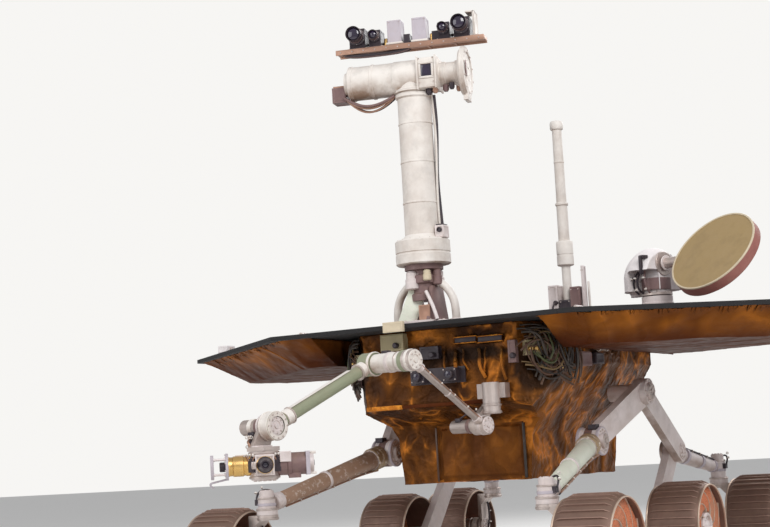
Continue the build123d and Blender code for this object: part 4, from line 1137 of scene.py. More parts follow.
class ROVER_OT_arm(bpy.types.Operator):
    """Flanges, covers, bolts and leads on the arm's joints and tubes"""
    bl_idname = "rover.arm"
    bl_label = "Arm"

    def execute(self, context):
        lift, elbow, wrist = in_arm("arm_raise"), in_arm("elbow_bend"), in_arm("wrist_bend")
        self.shoulder(lift)
        self.upper(lift, elbow)
        self.lower(elbow, wrist)
        self.wrist_drive(wrist)
        return {"FINISHED"}

    def shoulder(self, lift):
        """Azimuth drum and elevation drive."""
        end = -HUB_HALF - 16.5
        drive = flipped(along_y(arm_place(lift.x), end - 80))
        collar("drum_low", arm_place(0, 0, 31.5), "metal", 23.5, 26.8, 5)
        collar("drum_high", arm_place(0, 0, 51), "metal", 23.5, 26.8, 5)
        bolts(arm_place(0, 0, 36.5), 25.3, 10, 1.4)
        faced(drive, 16.5, "leg", 6, 1.8)
        collar("drive_band", along_y(arm_place(lift.x), end - 24), "plum", 17.8, 19.8, 12)
        collar("drive_root", along_y(arm_place(lift.x), end - 6), "metal", 17.8, 21.5, 6)
        block("socket", arm_place(lift.x + 10, end - 52, 18), "camera", (12, 18, 10), 1)
        lead = [(lift.x + 10, end - 46, 22), (lift.x + 4, end - 20, 38), (lift.x - 10, end - 4, 44),
            (12, -22, 40)]
        strapped(lead, "camera", 2.2, arm_place())
        finished("arm_shoulder_trim", "arm_shoulder", "arm_metal")

    def upper(self, lift, elbow):
        """Thin upper arm with its end collars and a lead."""
        run = Vector((elbow.x - lift.x, 0, elbow.z))
        length = run.length
        beam = arm_place(lift.x) @ place_at((0, 0, 0), run, (0, 1, 0))
        for start, height, radius in ((24, 16, 12.8), (length - 42, 16, 12.8), (length * 0.5, 5, 11.2)):
            collar("sleeve", up(beam, start), "leg", UPPER_ARM_RADIUS - 0.6, radius, height)
        for hub, radius, finish in (((lift.x, 0), SHOULDER_HUB, "leg"),
                ((elbow.x, elbow.z), ELBOW_HUB, "white")):
            place = along_y(arm_place(hub[0], 0, hub[1]), HUB_HALF)
            faced(place, radius - 2, finish, 8)
            collar("hub_band", up(place, -18), finish, radius - 1, radius + 1.4, 9)
        side = UPPER_ARM_RADIUS + 1.4
        line = [(side, 2, length * share) for share in (0.1, 0.28, 0.46, 0.64, 0.80, 0.92)]
        strapped(line, "bar", 1.8, beam)
        finished("upper_arm_trim", "upper_arm", "arm_metal")

    def lower(self, elbow, wrist):
        """Elbow drive, forearm with its flat lead, and the wrist ring."""
        side = -ELBOW_OFFSET
        axis = arm_place(elbow.x, 0, elbow.z)
        faced(flipped(along_y(axis, side - 20)), ELBOW_HUB + 0.5, "white", 10)
        collar("drive_shell", along_y(axis, side + 22), "white", 24.4, 25.4, -side - 48)
        collar("drive_end", along_y(axis, side + 14), "white", ELBOW_HUB + 2, ELBOW_HUB + 4.6, 8)
        collar("drive_mid", along_y(axis, side * 0.52), "leg", 24.6, 27.2, 12)
        collar("drive_near", along_y(axis, side * 0.30), "metal", 24.6, 26.6, 6)
        block("elbow_socket", arm_place(elbow.x - 10, side * 0.66, elbow.z + 28), "camera", (16, 22, 10),
            1)
        run = Vector((wrist.x - elbow.x, 0, wrist.z - elbow.z))
        beam = arm_place(elbow.x, side, elbow.z) @ place_at((0, 0, 0), run, (0, 1, 0))
        length = run.length
        for start, height, radius, finish in ((30, 18, 20.5, "white"), (50, 4, 22.5, "metal"),
                (length - 62, 22, 20.5, "white"), (length - 66, 4, 22.5, "metal")):
            collar("sleeve", up(beam, start), finish, FOREARM_RADIUS - 1, radius, height)
        top = beam.to_3x3().inverted() @ Vector((0, 0, 1))
        top.z = 0
        top = top.normalized() * (FOREARM_RADIUS + 1.2)
        strip = beam @ at(top.x, top.y, length * 0.52)
        strip = strip @ Matrix.Rotation(math.atan2(top.y, top.x), 4, "Z")
        block("flat_lead", strip, "white", (2.2, 13, length * 0.62), 0.6)
        ring = arm_place(wrist.x, 0, wrist.z)
        collar("ring_shell", along_y(ring, side - WRIST_HALF + 5.5), "white", WRIST_RING - 1,
            WRIST_RING + 0.8, WRIST_HALF * 2 - 10.5)
        for y in (side - WRIST_HALF + 1, side + WRIST_HALF - 6):
            collar("ring_edge", along_y(ring, y), "white", WRIST_RING - 1, WRIST_RING + 2.2, 5)
        collar("ring_face", along_y(ring, side + WRIST_HALF - 0.4), "white", 24, WRIST_RING, 1, 0.3)
        bolts(along_y(ring, side + WRIST_HALF + 0.5), WRIST_RING - 4, 12, 2.2)
        faced(along_y(ring, side + WRIST_HALF - 6), 24.5, "leg", 8, 2.2, 3)
        finished("forearm_trim", "forearm", "arm_green")

    def wrist_drive(self, wrist):
        """Covers and leads of the wrist drive and its bracket."""
        start = -ELBOW_OFFSET - WRIST_HALF - 0.5
        axis = arm_place(wrist.x, 0, wrist.z)
        turret = in_arm("turret_turn")
        faced(flipped(along_y(axis, start - 88)), 18.5, "white", 8, 2)
        collar("band", along_y(axis, start - 60), "white", 19.6, 21.8, 14)
        collar("band", along_y(axis, start - 34), "plum", 19.6, 22.4, 10)
        collar("root", along_y(axis, start - 14), "leg", 28.5, 32, 6)
        block("socket", arm_place(wrist.x + 12, start - 46, wrist.z - 18), "camera", (16, 22, 12), 1)
        block("bracket_edge", arm_place(turret.x, start + 12, turret.z + 46), "leg", (50, 22, 4), 1)
        for shift, finish in ((0, "camera"), (7, "bar"), (-7, "camera")):
            line = [(wrist.x + 16 + shift, start - 44, wrist.z - 22), (wrist.x + 34 + shift, start - 36,
                wrist.z - 48), (turret.x + 14 + shift, start - 19, turret.z + 70),
                (turret.x + 6 + shift, start - 16, turret.z + 42)]
            strapped(line, finish, 3.2, arm_place())
        finished("wrist_trim", "wrist", "arm_metal")


TURRET_TURN = -40.0


def on_turret(turn, reach=0):
    """Place on the turret with Z out along an instrument and X up."""
    low, high = box("turret")
    middle = (low + high) / 2
    heading = arm_place().to_3x3().col[0]
    spun = Matrix.Rotation(math.radians(TURRET_TURN + turn), 4, "Z")
    return place_at(middle, (0, 0, 1), heading) @ spun @ place_at((reach, 0, 0), (1, 0, 0), (0, 0, 1))


class ROVER_OT_turret(bpy.types.Operator):
    """Turret hub and its four instruments"""
    bl_idname = "rover.turret"
    bl_label = "Turret"

    def execute(self, context):
        reach = 128
        self.spectrometer(reach + 4)
        self.abrader(reach)
        self.microscope(reach - 4)
        self.sniffer(reach - 10)
        low, high = box("turret")
        middle = (low + high) / 2
        hub = at(*middle)
        half = (high.z - low.z) / 2
        faced(up(flipped(hub), half), 33, "leg", 12, 3, 3)
        collar("hub_rim", up(hub, half - 7), "metal", 35.5, 38.5, 6)
        collar("hub_rim", up(hub, -half + 1), "metal", 35.5, 38.5, 6)
        for turn in (45, 135, 225, 315):
            corner = on_turret(turn, 40)
            block("junction", corner, "camera" if turn < 180 else "plum", (34, 20, 14), 2, 1)
            for shift in (-7, 0, 7):
                line = [(12, shift, 6), (26, shift * 1.6, 10), (22, shift * 3, -4), (14, shift * 4.2, 2)]
                strapped(line, "bar" if shift else "camera", 1.6, corner)
        finished("turret_trim", "turret", "instrument_grey")
        return {"FINISHED"}

    def spectrometer(self, reach):
        """Gold body, light flange and an open ring on four struts, with a thin contact rod."""
        place = on_turret(0)
        flange = reach - 44
        turned("body", place, "gold", [(0, 36), (24.5, 33), (24.5, 44), (23.2, 45.5), (23.2, 50),
            (25, 51.5), (25, flange - 12), (23.2, flange - 10.5), (23.2, flange - 4), (24.5, flange),
            (0, flange)], 48)
        turned("flange", place, "lilac", [(16, flange), (32, flange), (33, flange + 1), (33, flange + 6),
            (31.8, flange + 7), (16, flange + 7), (16, flange)], 48)
        turned("snout", place, "camera", [(0, flange + 2), (12, flange + 2), (12, reach - 24),
            (10, reach - 22), (6, reach - 22), (5, reach - 26), (0, reach - 26)], 32)
        turned("ring", place, "lilac", [(22, reach - 8), (29, reach - 8), (30, reach - 7),
            (30, reach - 1), (29, reach), (23, reach), (22, reach - 1), (22, reach - 8)], 48)
        bolts(up(place, flange + 7), 29.5, 10, 2)
        block("light_bar", place @ at(26, 0, 56), "white", (4, 10, 30), 1)
        strut = turned("strut", place @ at(26, 0, 0), "leg", [
            (0, flange + 4), (4.4, flange + 4), (4.4, flange + 10), (3, flange + 12), (3, reach - 12),
            (4, reach - 10), (4, reach - 3), (0, reach - 3)], 16)
        ring_of(strut, 4, math.pi / 4, about=place)
        hook = [(-30, 0, flange + 4), (-36, 0, reach - 12), (-37, 0, reach + 3), (-43, 2, reach + 4),
            (-50, 6, reach - 6)]
        tube("contact_rod", place, "lilac", hook, 2.4)
        finished("iron_spectrometer_fine", "turret", "instrument_gold", "iron_spectrometer")

    def abrader(self, reach):
        """Dark drum with a pale square end plate, its round head and two stops."""
        place = on_turret(180)
        end = reach - 26
        turned("drum", place, "plum", [(0, 36), (27.5, 31), (27.5, 56), (30.5, 58), (30.5, 66),
            (27.5, 68), (27.5, end), (0, end)], 48)
        block("end_plate", up(place, end + 5), "lilac", (58, 58, 10), 3, 1.2)
        turned("cup", place, "leg", [(0, end + 10), (23, end + 10), (23, end + 18.5), (21.8, end + 20),
            (14.5, end + 20), (14, end + 12.5), (0, end + 12.5)], 40)
        turned("bit", place, "camera", [(0, end + 12.5), (8, end + 12.5), (8, end + 21), (6, end + 22),
            (0, end + 22)], 24)
        bolt_row([place @ at(x, y, end + 10) for x in (-23, 23) for y in (-23, 23)], 2.6)
        block("side_box", place @ at(18, 22, 52), "leg", (26, 18, 28), 2, 1)
        block("under_box", place @ at(-26, 4, 74), "plum", (18, 26, 30), 2, 1)
        for side in (-1, 1):
            block("stop", place @ at(side * 25, 0, reach - 9), "white", (7, 14, 18), 1)
        finished("abrasion_tool_fine", "turret", "instrument_grey", "abrasion_tool")

    def microscope(self, reach):
        """Box with a stepped barrel, a lens and the arm of its dust cover."""
        place = on_turret(90)
        block("case", up(place, 52), "leg", (50, 46, 48), 3, 1.8)
        turned("barrel", place, "camera", [(0, 74), (20, 74), (20, 90), (17.5, 92), (17.2, 94),
            (12, reach - 3), (11, reach), (8, reach), (7.8, reach - 8), (0, reach - 8)], 40)
        turned("lens", place, "lens", [(0, reach - 8.2), (7.6, reach - 8.2), (7.6, reach - 7),
            (0, reach - 5)], 28)
        collar("focus_ring", up(place, 78), "gold", 19.5, 21.2, 5)
        block("cover_arm", place @ at(0, 26, 84), "metal", (16, 8, 44), 1.5)
        turned("cover_pivot", place @ place_at((0, 22, 66), (0, 1, 0)), "leg",
            [(0, 0), (9, 0), (9, 10), (0, 11)], 24)
        bolt_row([place @ at(x, y, 76) for x in (-20, 20) for y in (-18, 18)], 2)
        finished("microscope_imager_fine", "turret", "camera_black", "microscope_imager")

    def sniffer(self, reach):
        """Stepped round body with its two doors part open."""
        place = on_turret(270)
        turned("body", place, "leg", [(0, 36), (24.5, 33), (24.5, 60), (22.5, 62), (22.5, 66), (24.5, 68),
            (24.5, reach - 34), (27.5, reach - 33), (27.5, reach - 25), (26.5, reach - 24),
            (20, reach - 24), (20, reach - 9), (19, reach - 8), (12, reach - 8), (11, reach - 12),
            (0, reach - 12)], 48)
        bolts(up(place, reach - 24), 23.8, 10, 2)
        collar("band", up(place, 72), "gold", 24, 25.8, 8)
        for side in (-1, 1):
            door = place @ at(side * 12, 0, reach - 12) @ Matrix.Rotation(side * math.radians(70), 4, "Y")
            block("door", door, "metal", (3, 26, 22), 0.6)
        finished("particle_spectrometer_fine", "turret", "instrument_grey", "particle_spectrometer")


# Leg points of the left side, as the frame has them
CENTRE_SHIFT = 119.084
KNEE = Vector((131 - CENTRE_SHIFT, 330, 387))
STRUT_END = Vector((631 - CENTRE_SHIFT, 415, 268))
ROCKER_PIVOT = Vector((-103 - CENTRE_SHIFT, 399, 523))
BEAM_PIVOT = Vector((-375 - CENTRE_SHIFT, 372, 345))
REAR_END = Vector((-683 - CENTRE_SHIFT, 396, 290))


def sided(point, sign):
    """The same point on the left (1) or the right (-1)."""
    return Vector((point[0], point[1] * sign, point[2]))


class ROVER_OT_legs(bpy.types.Operator):
    """Sleeves, discs, covers, bolts and leads on the rockers and rear beams"""
    bl_idname = "rover.legs"
    bl_label = "Legs"

    def execute(self, context):
        for side, sign in SIDES:
            self.knee(sign)
            self.strut(sign)
            self.pivots(sign)
            for axle in ("front", "rear"):
                self.drive(axle, side, sign)
            finished(f"legs_{side}_trim", "root", "leg_grey")
        return {"FINISHED"}

    def knee(self, sign):
        """Knee barrel with rimmed ends, a cover and a dark socket."""
        half = 33
        for way in (-1, 1):
            face = place_at(sided(KNEE + Vector((0, way * half, 0)), sign), (0, way * sign, 0))
            collar("knee_rim", up(face, -8), "lilac", 37.2, 40.5, 9, 1.5)
            bolts(face, 30.5, 12, 2.8)
            faced(up(face, 8), 20.5, "metal", 6, 2, 2)
        collar("knee_band", up(place_at(sided(KNEE, sign), (0, sign, 0)), -12), "plum", 37.5, 39.2, 24)
        block("socket", place_at(sided(KNEE + Vector((12, 12, 40)), sign), (0, 0, 1)), "camera",
            (26, 24, 14), 1.5, 1)

    def strut(self, sign):
        """Bright strut with its speckled root sleeve, clamp, end sleeve and leads."""
        start, end = sided(KNEE, sign), sided(STRUT_END, sign)
        run = end - start
        length = run.length
        place = place_at(start, run, (0, 0, 1))
        body = "pale_green" if sign > 0 else "tan"
        turned("skin", place, body, [
            (22.5, 79), (26.2, 79), (27, 81), (20.5, length - 33), (19.6, length - 31),
            (17.5, length - 31), (22.5, 79)], 40)
        turned("root_sleeve", place, "speckled", [
            (30, 38.5), (32.5, 38.5), (33.5, 40), (33.5, 56), (32.2, 57.5), (32.2, 60), (33.5, 61.5),
            (33.5, 77.5), (32.5, 79), (30, 79), (30, 38.5)], 40)
        turned("foot_sleeve", place, "leg", [
            (21, length - 31), (22.8, length - 31), (23.6, length - 29), (23.6, length - 14),
            (22.6, length - 13), (22.6, length - 9), (23.6, length - 8), (23.6, length - 1), (21, length),
            (21, length - 31)], 36)
        bolts(up(place, 79), 29.8, 12, 2)
        collar("clamp", up(place, length * 0.55), "leg", 22.8, 26.2, 10)
        for shift, finish, radius in ((0, "camera", 3.6), (0.32, "bar", 3)):
            turn = math.radians(205) * sign + shift
            line = []
            for share in (0.10, 0.22, 0.36, 0.50, 0.64, 0.78, 0.90):
                reach = 28.5 - 7.5 * share + radius
                if share < 0.2:
                    reach = 34.5 + radius
                line.append((reach * math.cos(turn), reach * math.sin(turn), length * share))
            strapped(line, finish, radius, place)

    def pivots(self, sign):
        """Covers on the rocker's and the beam's pivots and the beam's bare arm."""
        rocker = place_at(sided(ROCKER_PIVOT + Vector((0, 28, 0)), sign), (0, sign, 0))
        ring = place_at(sided(ROCKER_PIVOT + Vector((0, 22, 0)), sign), (0, sign, 0))
        beam = place_at(sided(BEAM_PIVOT + Vector((0, 12.5, 0)), sign), (0, sign, 0))
        outer = place_at(sided(BEAM_PIVOT + Vector((0, 36.5, 0)), sign), (0, sign, 0))
        faced(rocker, 24.5, "metal", 8, 2.4, 2.2)
        bolts(ring, 31.5, 12, 2.8)
        faced(outer, 25, "leg", 10, 2.6)
        collar("beam_rim", up(beam, -38), "metal", 31.5, 34, 10)
        start, end = sided(BEAM_PIVOT, sign), sided(REAR_END, sign)
        run = end - start
        place = place_at(start, run, (0, 0, 1))
        for along, radius in ((80, 25.2), (run.length * 0.62, 22.2), (run.length - 22, 20.5)):
            collar("sleeve", up(place, along), "lilac", radius - 6, radius, 14)
        line = [(22 - 4 * share, 12, run.length * share) for share in (0.22, 0.4, 0.58, 0.76, 0.92)]
        strapped(line, "camera", 3, place)

    def drive(self, axle, side, sign):
        """Rings, cap bolts, socket and lead of an upright steering drive."""
        height = 48 if axle == "front" else 74
        base = up(at(*joint_point(f"steer_{axle}_{side}")), 0.5)
        collar("drive_rim", up(base, 12), "metal", 28.5, 30.5, 5.5)
        bolts(up(base, 18), 26.4, 12, 1.8)
        collar("drive_band", up(base, height * 0.5), "lilac", 23.5, 25.6, 8)
        collar("drive_top", up(base, height - 6), "metal", 23.5, 25.6, 5)
        faced(up(base, height + 16), 18.5, "leg", 8, 2.2)
        out = base @ at(4, sign * 24, height * 0.72)
        block("socket", out, "camera", (18, 14, 16), 1.5, 1)
        line = [(0, sign * 6, 4), (-6, sign * 12, 26), (-24, sign * 4, 40), (-34, -sign * 20, 30)]
        strapped(line, "camera", 3, out)


class ROVER_OT_knuckles(bpy.types.Operator):
    """Bolts, rims and leads on the steering brackets and wheel drives"""
    bl_idname = "rover.knuckles"
    bl_label = "Steering brackets"

    def execute(self, context):
        for axle in ("front", "rear"):
            for side, sign in SIDES:
                top = joint_point(f"steer_{axle}_{side}")
                hub = joint_point(f"spin_{axle}_{side}")
                inner = abs(hub.y) - WHEEL_HALF_WIDTH - 6
                outward = place_at((hub.x, sign * inner, hub.z), (0, sign, 0))
                inward = place_at((hub.x, sign * (inner - 13), hub.z), (0, -sign, 0))
                collar("foot_rim", up(outward, -5), "metal", 31.5, 33.8, 5)
                bolts(outward, 28.5, 10, 2.6)
                faced(inward, 23.5, "leg", 8, 2.6, 3)
                collar("motor", up(outward, 10), "white", 24.5, 27.2, 18)
                collar("motor_end", up(outward, 36), "metal", 24.5, 26.6, 6)
                collar("head_rim", up(at(*top), -12), "metal", 29.5, 31.8, 6)
                path = ((0, 4, -20), (-12, 12, 12), (-16, 10, 48), (-10, 6, 78))
                line = [(hub.x + x, sign * (inner - 13 - y), hub.z + z) for x, y, z in path]
                strapped(line, "camera", 3.4)
                finished(f"knuckle_{axle}_{side}_trim", f"knuckle_{axle}_{side}", "leg_grey")
        return {"FINISHED"}


def dish_place(joint, y=0):
    """Place in the dish drive's own frame: X where the dish looks, Y to its left."""
    left = -Vector(JOINTS["dish_raise"]["axis"])
    return place_at(joint_point(joint), (0, 0, 1), left.cross((0, 0, 1))) @ at(0, y, 0)


class ROVER_OT_dish(bpy.types.Operator):
    """Dish with its pale face and red-brown side, and the covered drive"""
    bl_idname = "rover.dish"
    bl_label = "Dish"

    def execute(self, context):
        radius, half, offset, shaft = 135, 19, 231, 15
        face = dish_place("dish_raise", offset) @ Matrix.Rotation(math.radians(52), 4, "Y")
        turned("face", face, "dish_face", [(0, half - 2.5), (radius - 5.5, half - 2.5),
            (radius - 5, half - 2), (radius - 5, half - 4.5), (0, half - 4.5)], 96)
        turned("lip", face, "dish_lip", [(radius - 5, half - 4), (radius - 5, half - 0.6),
            (radius - 4.2, half), (radius - 0.8, half), (radius, half - 1.2), (radius, half - 4)], 96)
        turned("side", face, "dish_side", [(radius, half - 4), (radius, -half + 6), (radius - 8, -half),
            (radius - 19, -half), (radius - 23, -half + 5), (50, -half + 5), (46, -half), (0, -half)], 96)
        bolts(up(flipped(face), half), 36, 8, 3.2)
        rib = block("rib", face @ at(83, 0, -half + 3), "dish_side", (70, 5, 6), 1)
        ring_of(rib, 6, 0.2, about=face)
        start, edge = 38.5, offset - radius + 6
        axle = along_y(dish_place("dish_raise"))
        turned("shaft", axle, "metal", [(0, start), (shaft, start), (shaft, edge), (0, edge)], 32)
        collar("shaft_flange", up(axle, start + 4), "leg", shaft - 1, shaft + 7, 4)
        finished("dish_fine", "dish", "dish_tan", "dish")
        cover = crumpled("dish_cover", "dish_turn", "cloth", 0.0045, 0.0045)
        rest_on(cover, "dish_turn", "white_paint", "dish_turn")
        base = dish_place("dish_turn")
        collar("drum", up(base, 18), "plum", 40, 41.5, 34)
        collar("drum_rim", up(base, 2.5), "metal", 39.5, 44, 8)
        bolts(up(base, 10.5), 42, 14, 1.8)
        collar("actuator_rim", base @ at(0, -76, 60), "leg", 20.5, 24.8, 8)
        faced(base @ at(0, -76, 85.5), 18, "white", 8, 2)
        block("hook", base @ at(78, 20, 86), "camera", (10, 8, 52), 1.5)
        block("hook_top", base @ at(66, 20, 110), "camera", (22, 16, 10), 1.5)
        collar("shaft_seat", up(axle, 30), "metal", 10, 34, 7.5)
        bolts(up(axle, 36.5), 28, 10, 1.8)
        for y, reach in ((-30, 62), (-12, 68), (12, 60)):
            line = [(40, y, 10), (reach, y * 1.2, 20), (reach + 4, y, 52), (50, y * 0.6, 72)]
            strapped(line, "camera" if y < 0 else "plum", 3, base)
        finished("dish_drive_trim", "dish_turn", "white_paint")
        axis = base.to_translation()
        foot = at(axis.x, axis.y, DECK_TOP)
        turned("foot", foot, "leg", [(0, 0), (58, 0), (58, 6), (56, 8), (46, 8), (44, 11), (44, 24),
            (45.5, 26), (45.5, 34), (44, 36), (44, 52), (0, 52)], 56)
        bolts(up(foot, 8), 51.5, 12, 3.2)
        finished("dish_foot_fine", "root", "leg_grey", "dish_foot")
        return {"FINISHED"}


class ROVER_OT_antennas(bpy.types.Operator):
    """Stepped rod antenna with the boxes at its foot, and the whip"""
    bl_idname = "rover.antennas"
    bl_label = "Antennas"

    def execute(self, context):
        low, high = box("low_gain_rod")
        x, y = -CENTRE_SHIFT, 230
        foot = at(x, y, 0)
        top = high.z
        profile = [(0, low.z), (24, low.z), (24, low.z + 12), (22, low.z + 14), (13, low.z + 16),
            (13, 899), (23, 902), (24.5, 904), (24.5, 930), (23.5, 931), (23.5, 934), (24.5, 935),
            (24.5, 970), (23, 973), (16.5, 975), (16, 1078), (19, 1080), (19, 1086), (15, 1088),
            (14.5, 1205), (15.2, 1206), (15.2, 1210), (14.5, 1211), (14, top - 29), (18.5, top - 26),
            (19.5, top - 23), (19.5, top - 8), (16.5, top - 2), (10, top), (0, top)]
        turned("rod", foot, "white", profile, 40)
        bolts(up(foot, low.z + 14), 18.5, 8, 2.2)
        tall = 112
        # columns: x and y from the rod, depth, width, height, finish of a box round its foot
        for dx, dy, depth, width, height, finish in (
            (8, -34, 48, 28, tall, "leg"), (4, 32, 40, 30, tall * 0.92, "plum"),
            (-30, 2, 30, 44, tall * 0.8, "leg"), (6, 56, 20, 8, tall * 1.45, "leg"),
            (16, 0, 16, 36, tall * 0.6, "camera"),
        ):
            place = at(x + dx, y + dy, low.z + height / 2)
            block("foot_box", place, finish, (depth, width, height), 2, 1.8)
            bolt_row([place @ place_at((depth / 2, sy * width * 0.36, sz * height * 0.42), (1, 0, 0))
                for sy in (-1, 1) for sz in (-1, 1)], 2)
        for dy, dz, finish in ((-26, 60, "camera"), (-26, 34, "bar"), (30, 40, "camera")):
            place = at(x + 33, y + dy, low.z + dz)
            turned("plug", place @ place_at((-6, 0, 0), (1, 0, 0)), finish,
                [(0, 0), (7, 0), (7, 8), (5, 11), (0, 11)], 18)
            tube("lead", place, finish, [(4, 0, 0), (16, dy * 0.2, -12), (14, dy * 0.3, -30),
                (2, 0, 6 - dz)], 2.8)
        finished("low_gain_rod_fine", "root", "white_paint", "low_gain_rod")
        low, high = box("whip_antenna")
        middle = (low + high) / 2
        turned("whip", at(middle.x, middle.y, 0), "white", [
            (0, low.z), (9, low.z), (9, low.z + 4), (7.5, low.z + 6), (7.5, low.z + 17), (6, low.z + 20),
            (3.5, low.z + 22), (3.5, high.z - 4), (2.6, high.z), (0, high.z)], 24)
        finished("whip", "root", "white_paint", "whip_antenna")
        return {"FINISHED"}


class ROVER_OT_deck(bpy.types.Operator):
    """Hinges, edge blocks and colour target on the deck and the wings"""
    bl_idname = "rover.deck"
    bl_label = "Deck"

    def execute(self, context):
        hinge = Vector((0, 430.6, DECK_TOP + 6.3))
        for sign in (1, -1):
            for x in (400, 60, -300):
                middle = at(x - CENTRE_SHIFT, sign * hinge.y, hinge.z)
                start = middle @ place_at((-23, 0, 0), (1, 0, 0))
                turned("pin", start, "metal", [(0, 0), (5.2, 0), (6, 0.8), (6, 45.2), (5.2, 46), (0, 46)],
                    24)
                for along in (3, 18, 33):
                    collar("knuckle", up(start, along), "leg", 5.6, 7.4, 10)
                for dy in (-19, 19):
                    leaf = middle @ at(0, dy, -5.1)
                    block("leaf", leaf, "metal", (52, 30, 2.4), 0.6)
                    bolt_row([leaf @ at(dx, dy * 0.3, 1.2) for dx in (-17, 17)], 3)
            fold = at(108.9 - CENTRE_SHIFT, sign * 907, DECK_TOP + 11.3)
            block("fold_box", fold, "cloth", (46, 34, 22), 2, 1.5)
            turned("fold_pin", fold @ place_at((0, -23, 0), (0, 1, 0)), "metal",
                [(0, 0), (6, 0), (6, 46), (0, 46)], 18)
        edge = at(526.3 - CENTRE_SHIFT, -64, DECK_TOP - 7)
        block("edge_block", edge, "cream", (12.5, 62, 28), 2, 1.6)
        self.target()
        finished("deck_trim", "root", "bare_metal", "deck_fittings")
        return {"FINISHED"}

    def target(self):
        """Square plate with grey rings and corner patches round a short post."""
        place = at(-430 - CENTRE_SHIFT, -250, DECK_TOP + 0.3)
        block("plate", up(place, 4.5), "metal", (78.5, 78.5, 9.6), 1.2)
        turned("ring_dark", place, "camera", [(0, 9), (32, 9), (32, 11.5), (0, 11.5)], 48)
        turned("ring_mid", place, "leg", [(0, 11), (22, 11), (22, 13.5), (0, 13.5)], 48)
        turned("ring_light", place, "white", [(0, 13), (12, 13), (12, 15.5), (0, 15.5)], 40)
        turned("post", place, "camera", [(0, 15), (3.6, 15), (2.2, 58), (4, 59), (5.2, 62), (4, 65.5),
            (0, 67)], 24)
        for sx, sy, finish in ((-1, -1, "dish_side"), (1, -1, "pale_green"), (-1, 1, "lilac"),
                (1, 1, "tan")):
            block("patch", place @ at(sx * 31, sy * 31, 9.8), finish, (11, 11, 2), 0.5)


# Where the upper body's front face stands
FRONT = box("arm_base")[0].x - 0.3


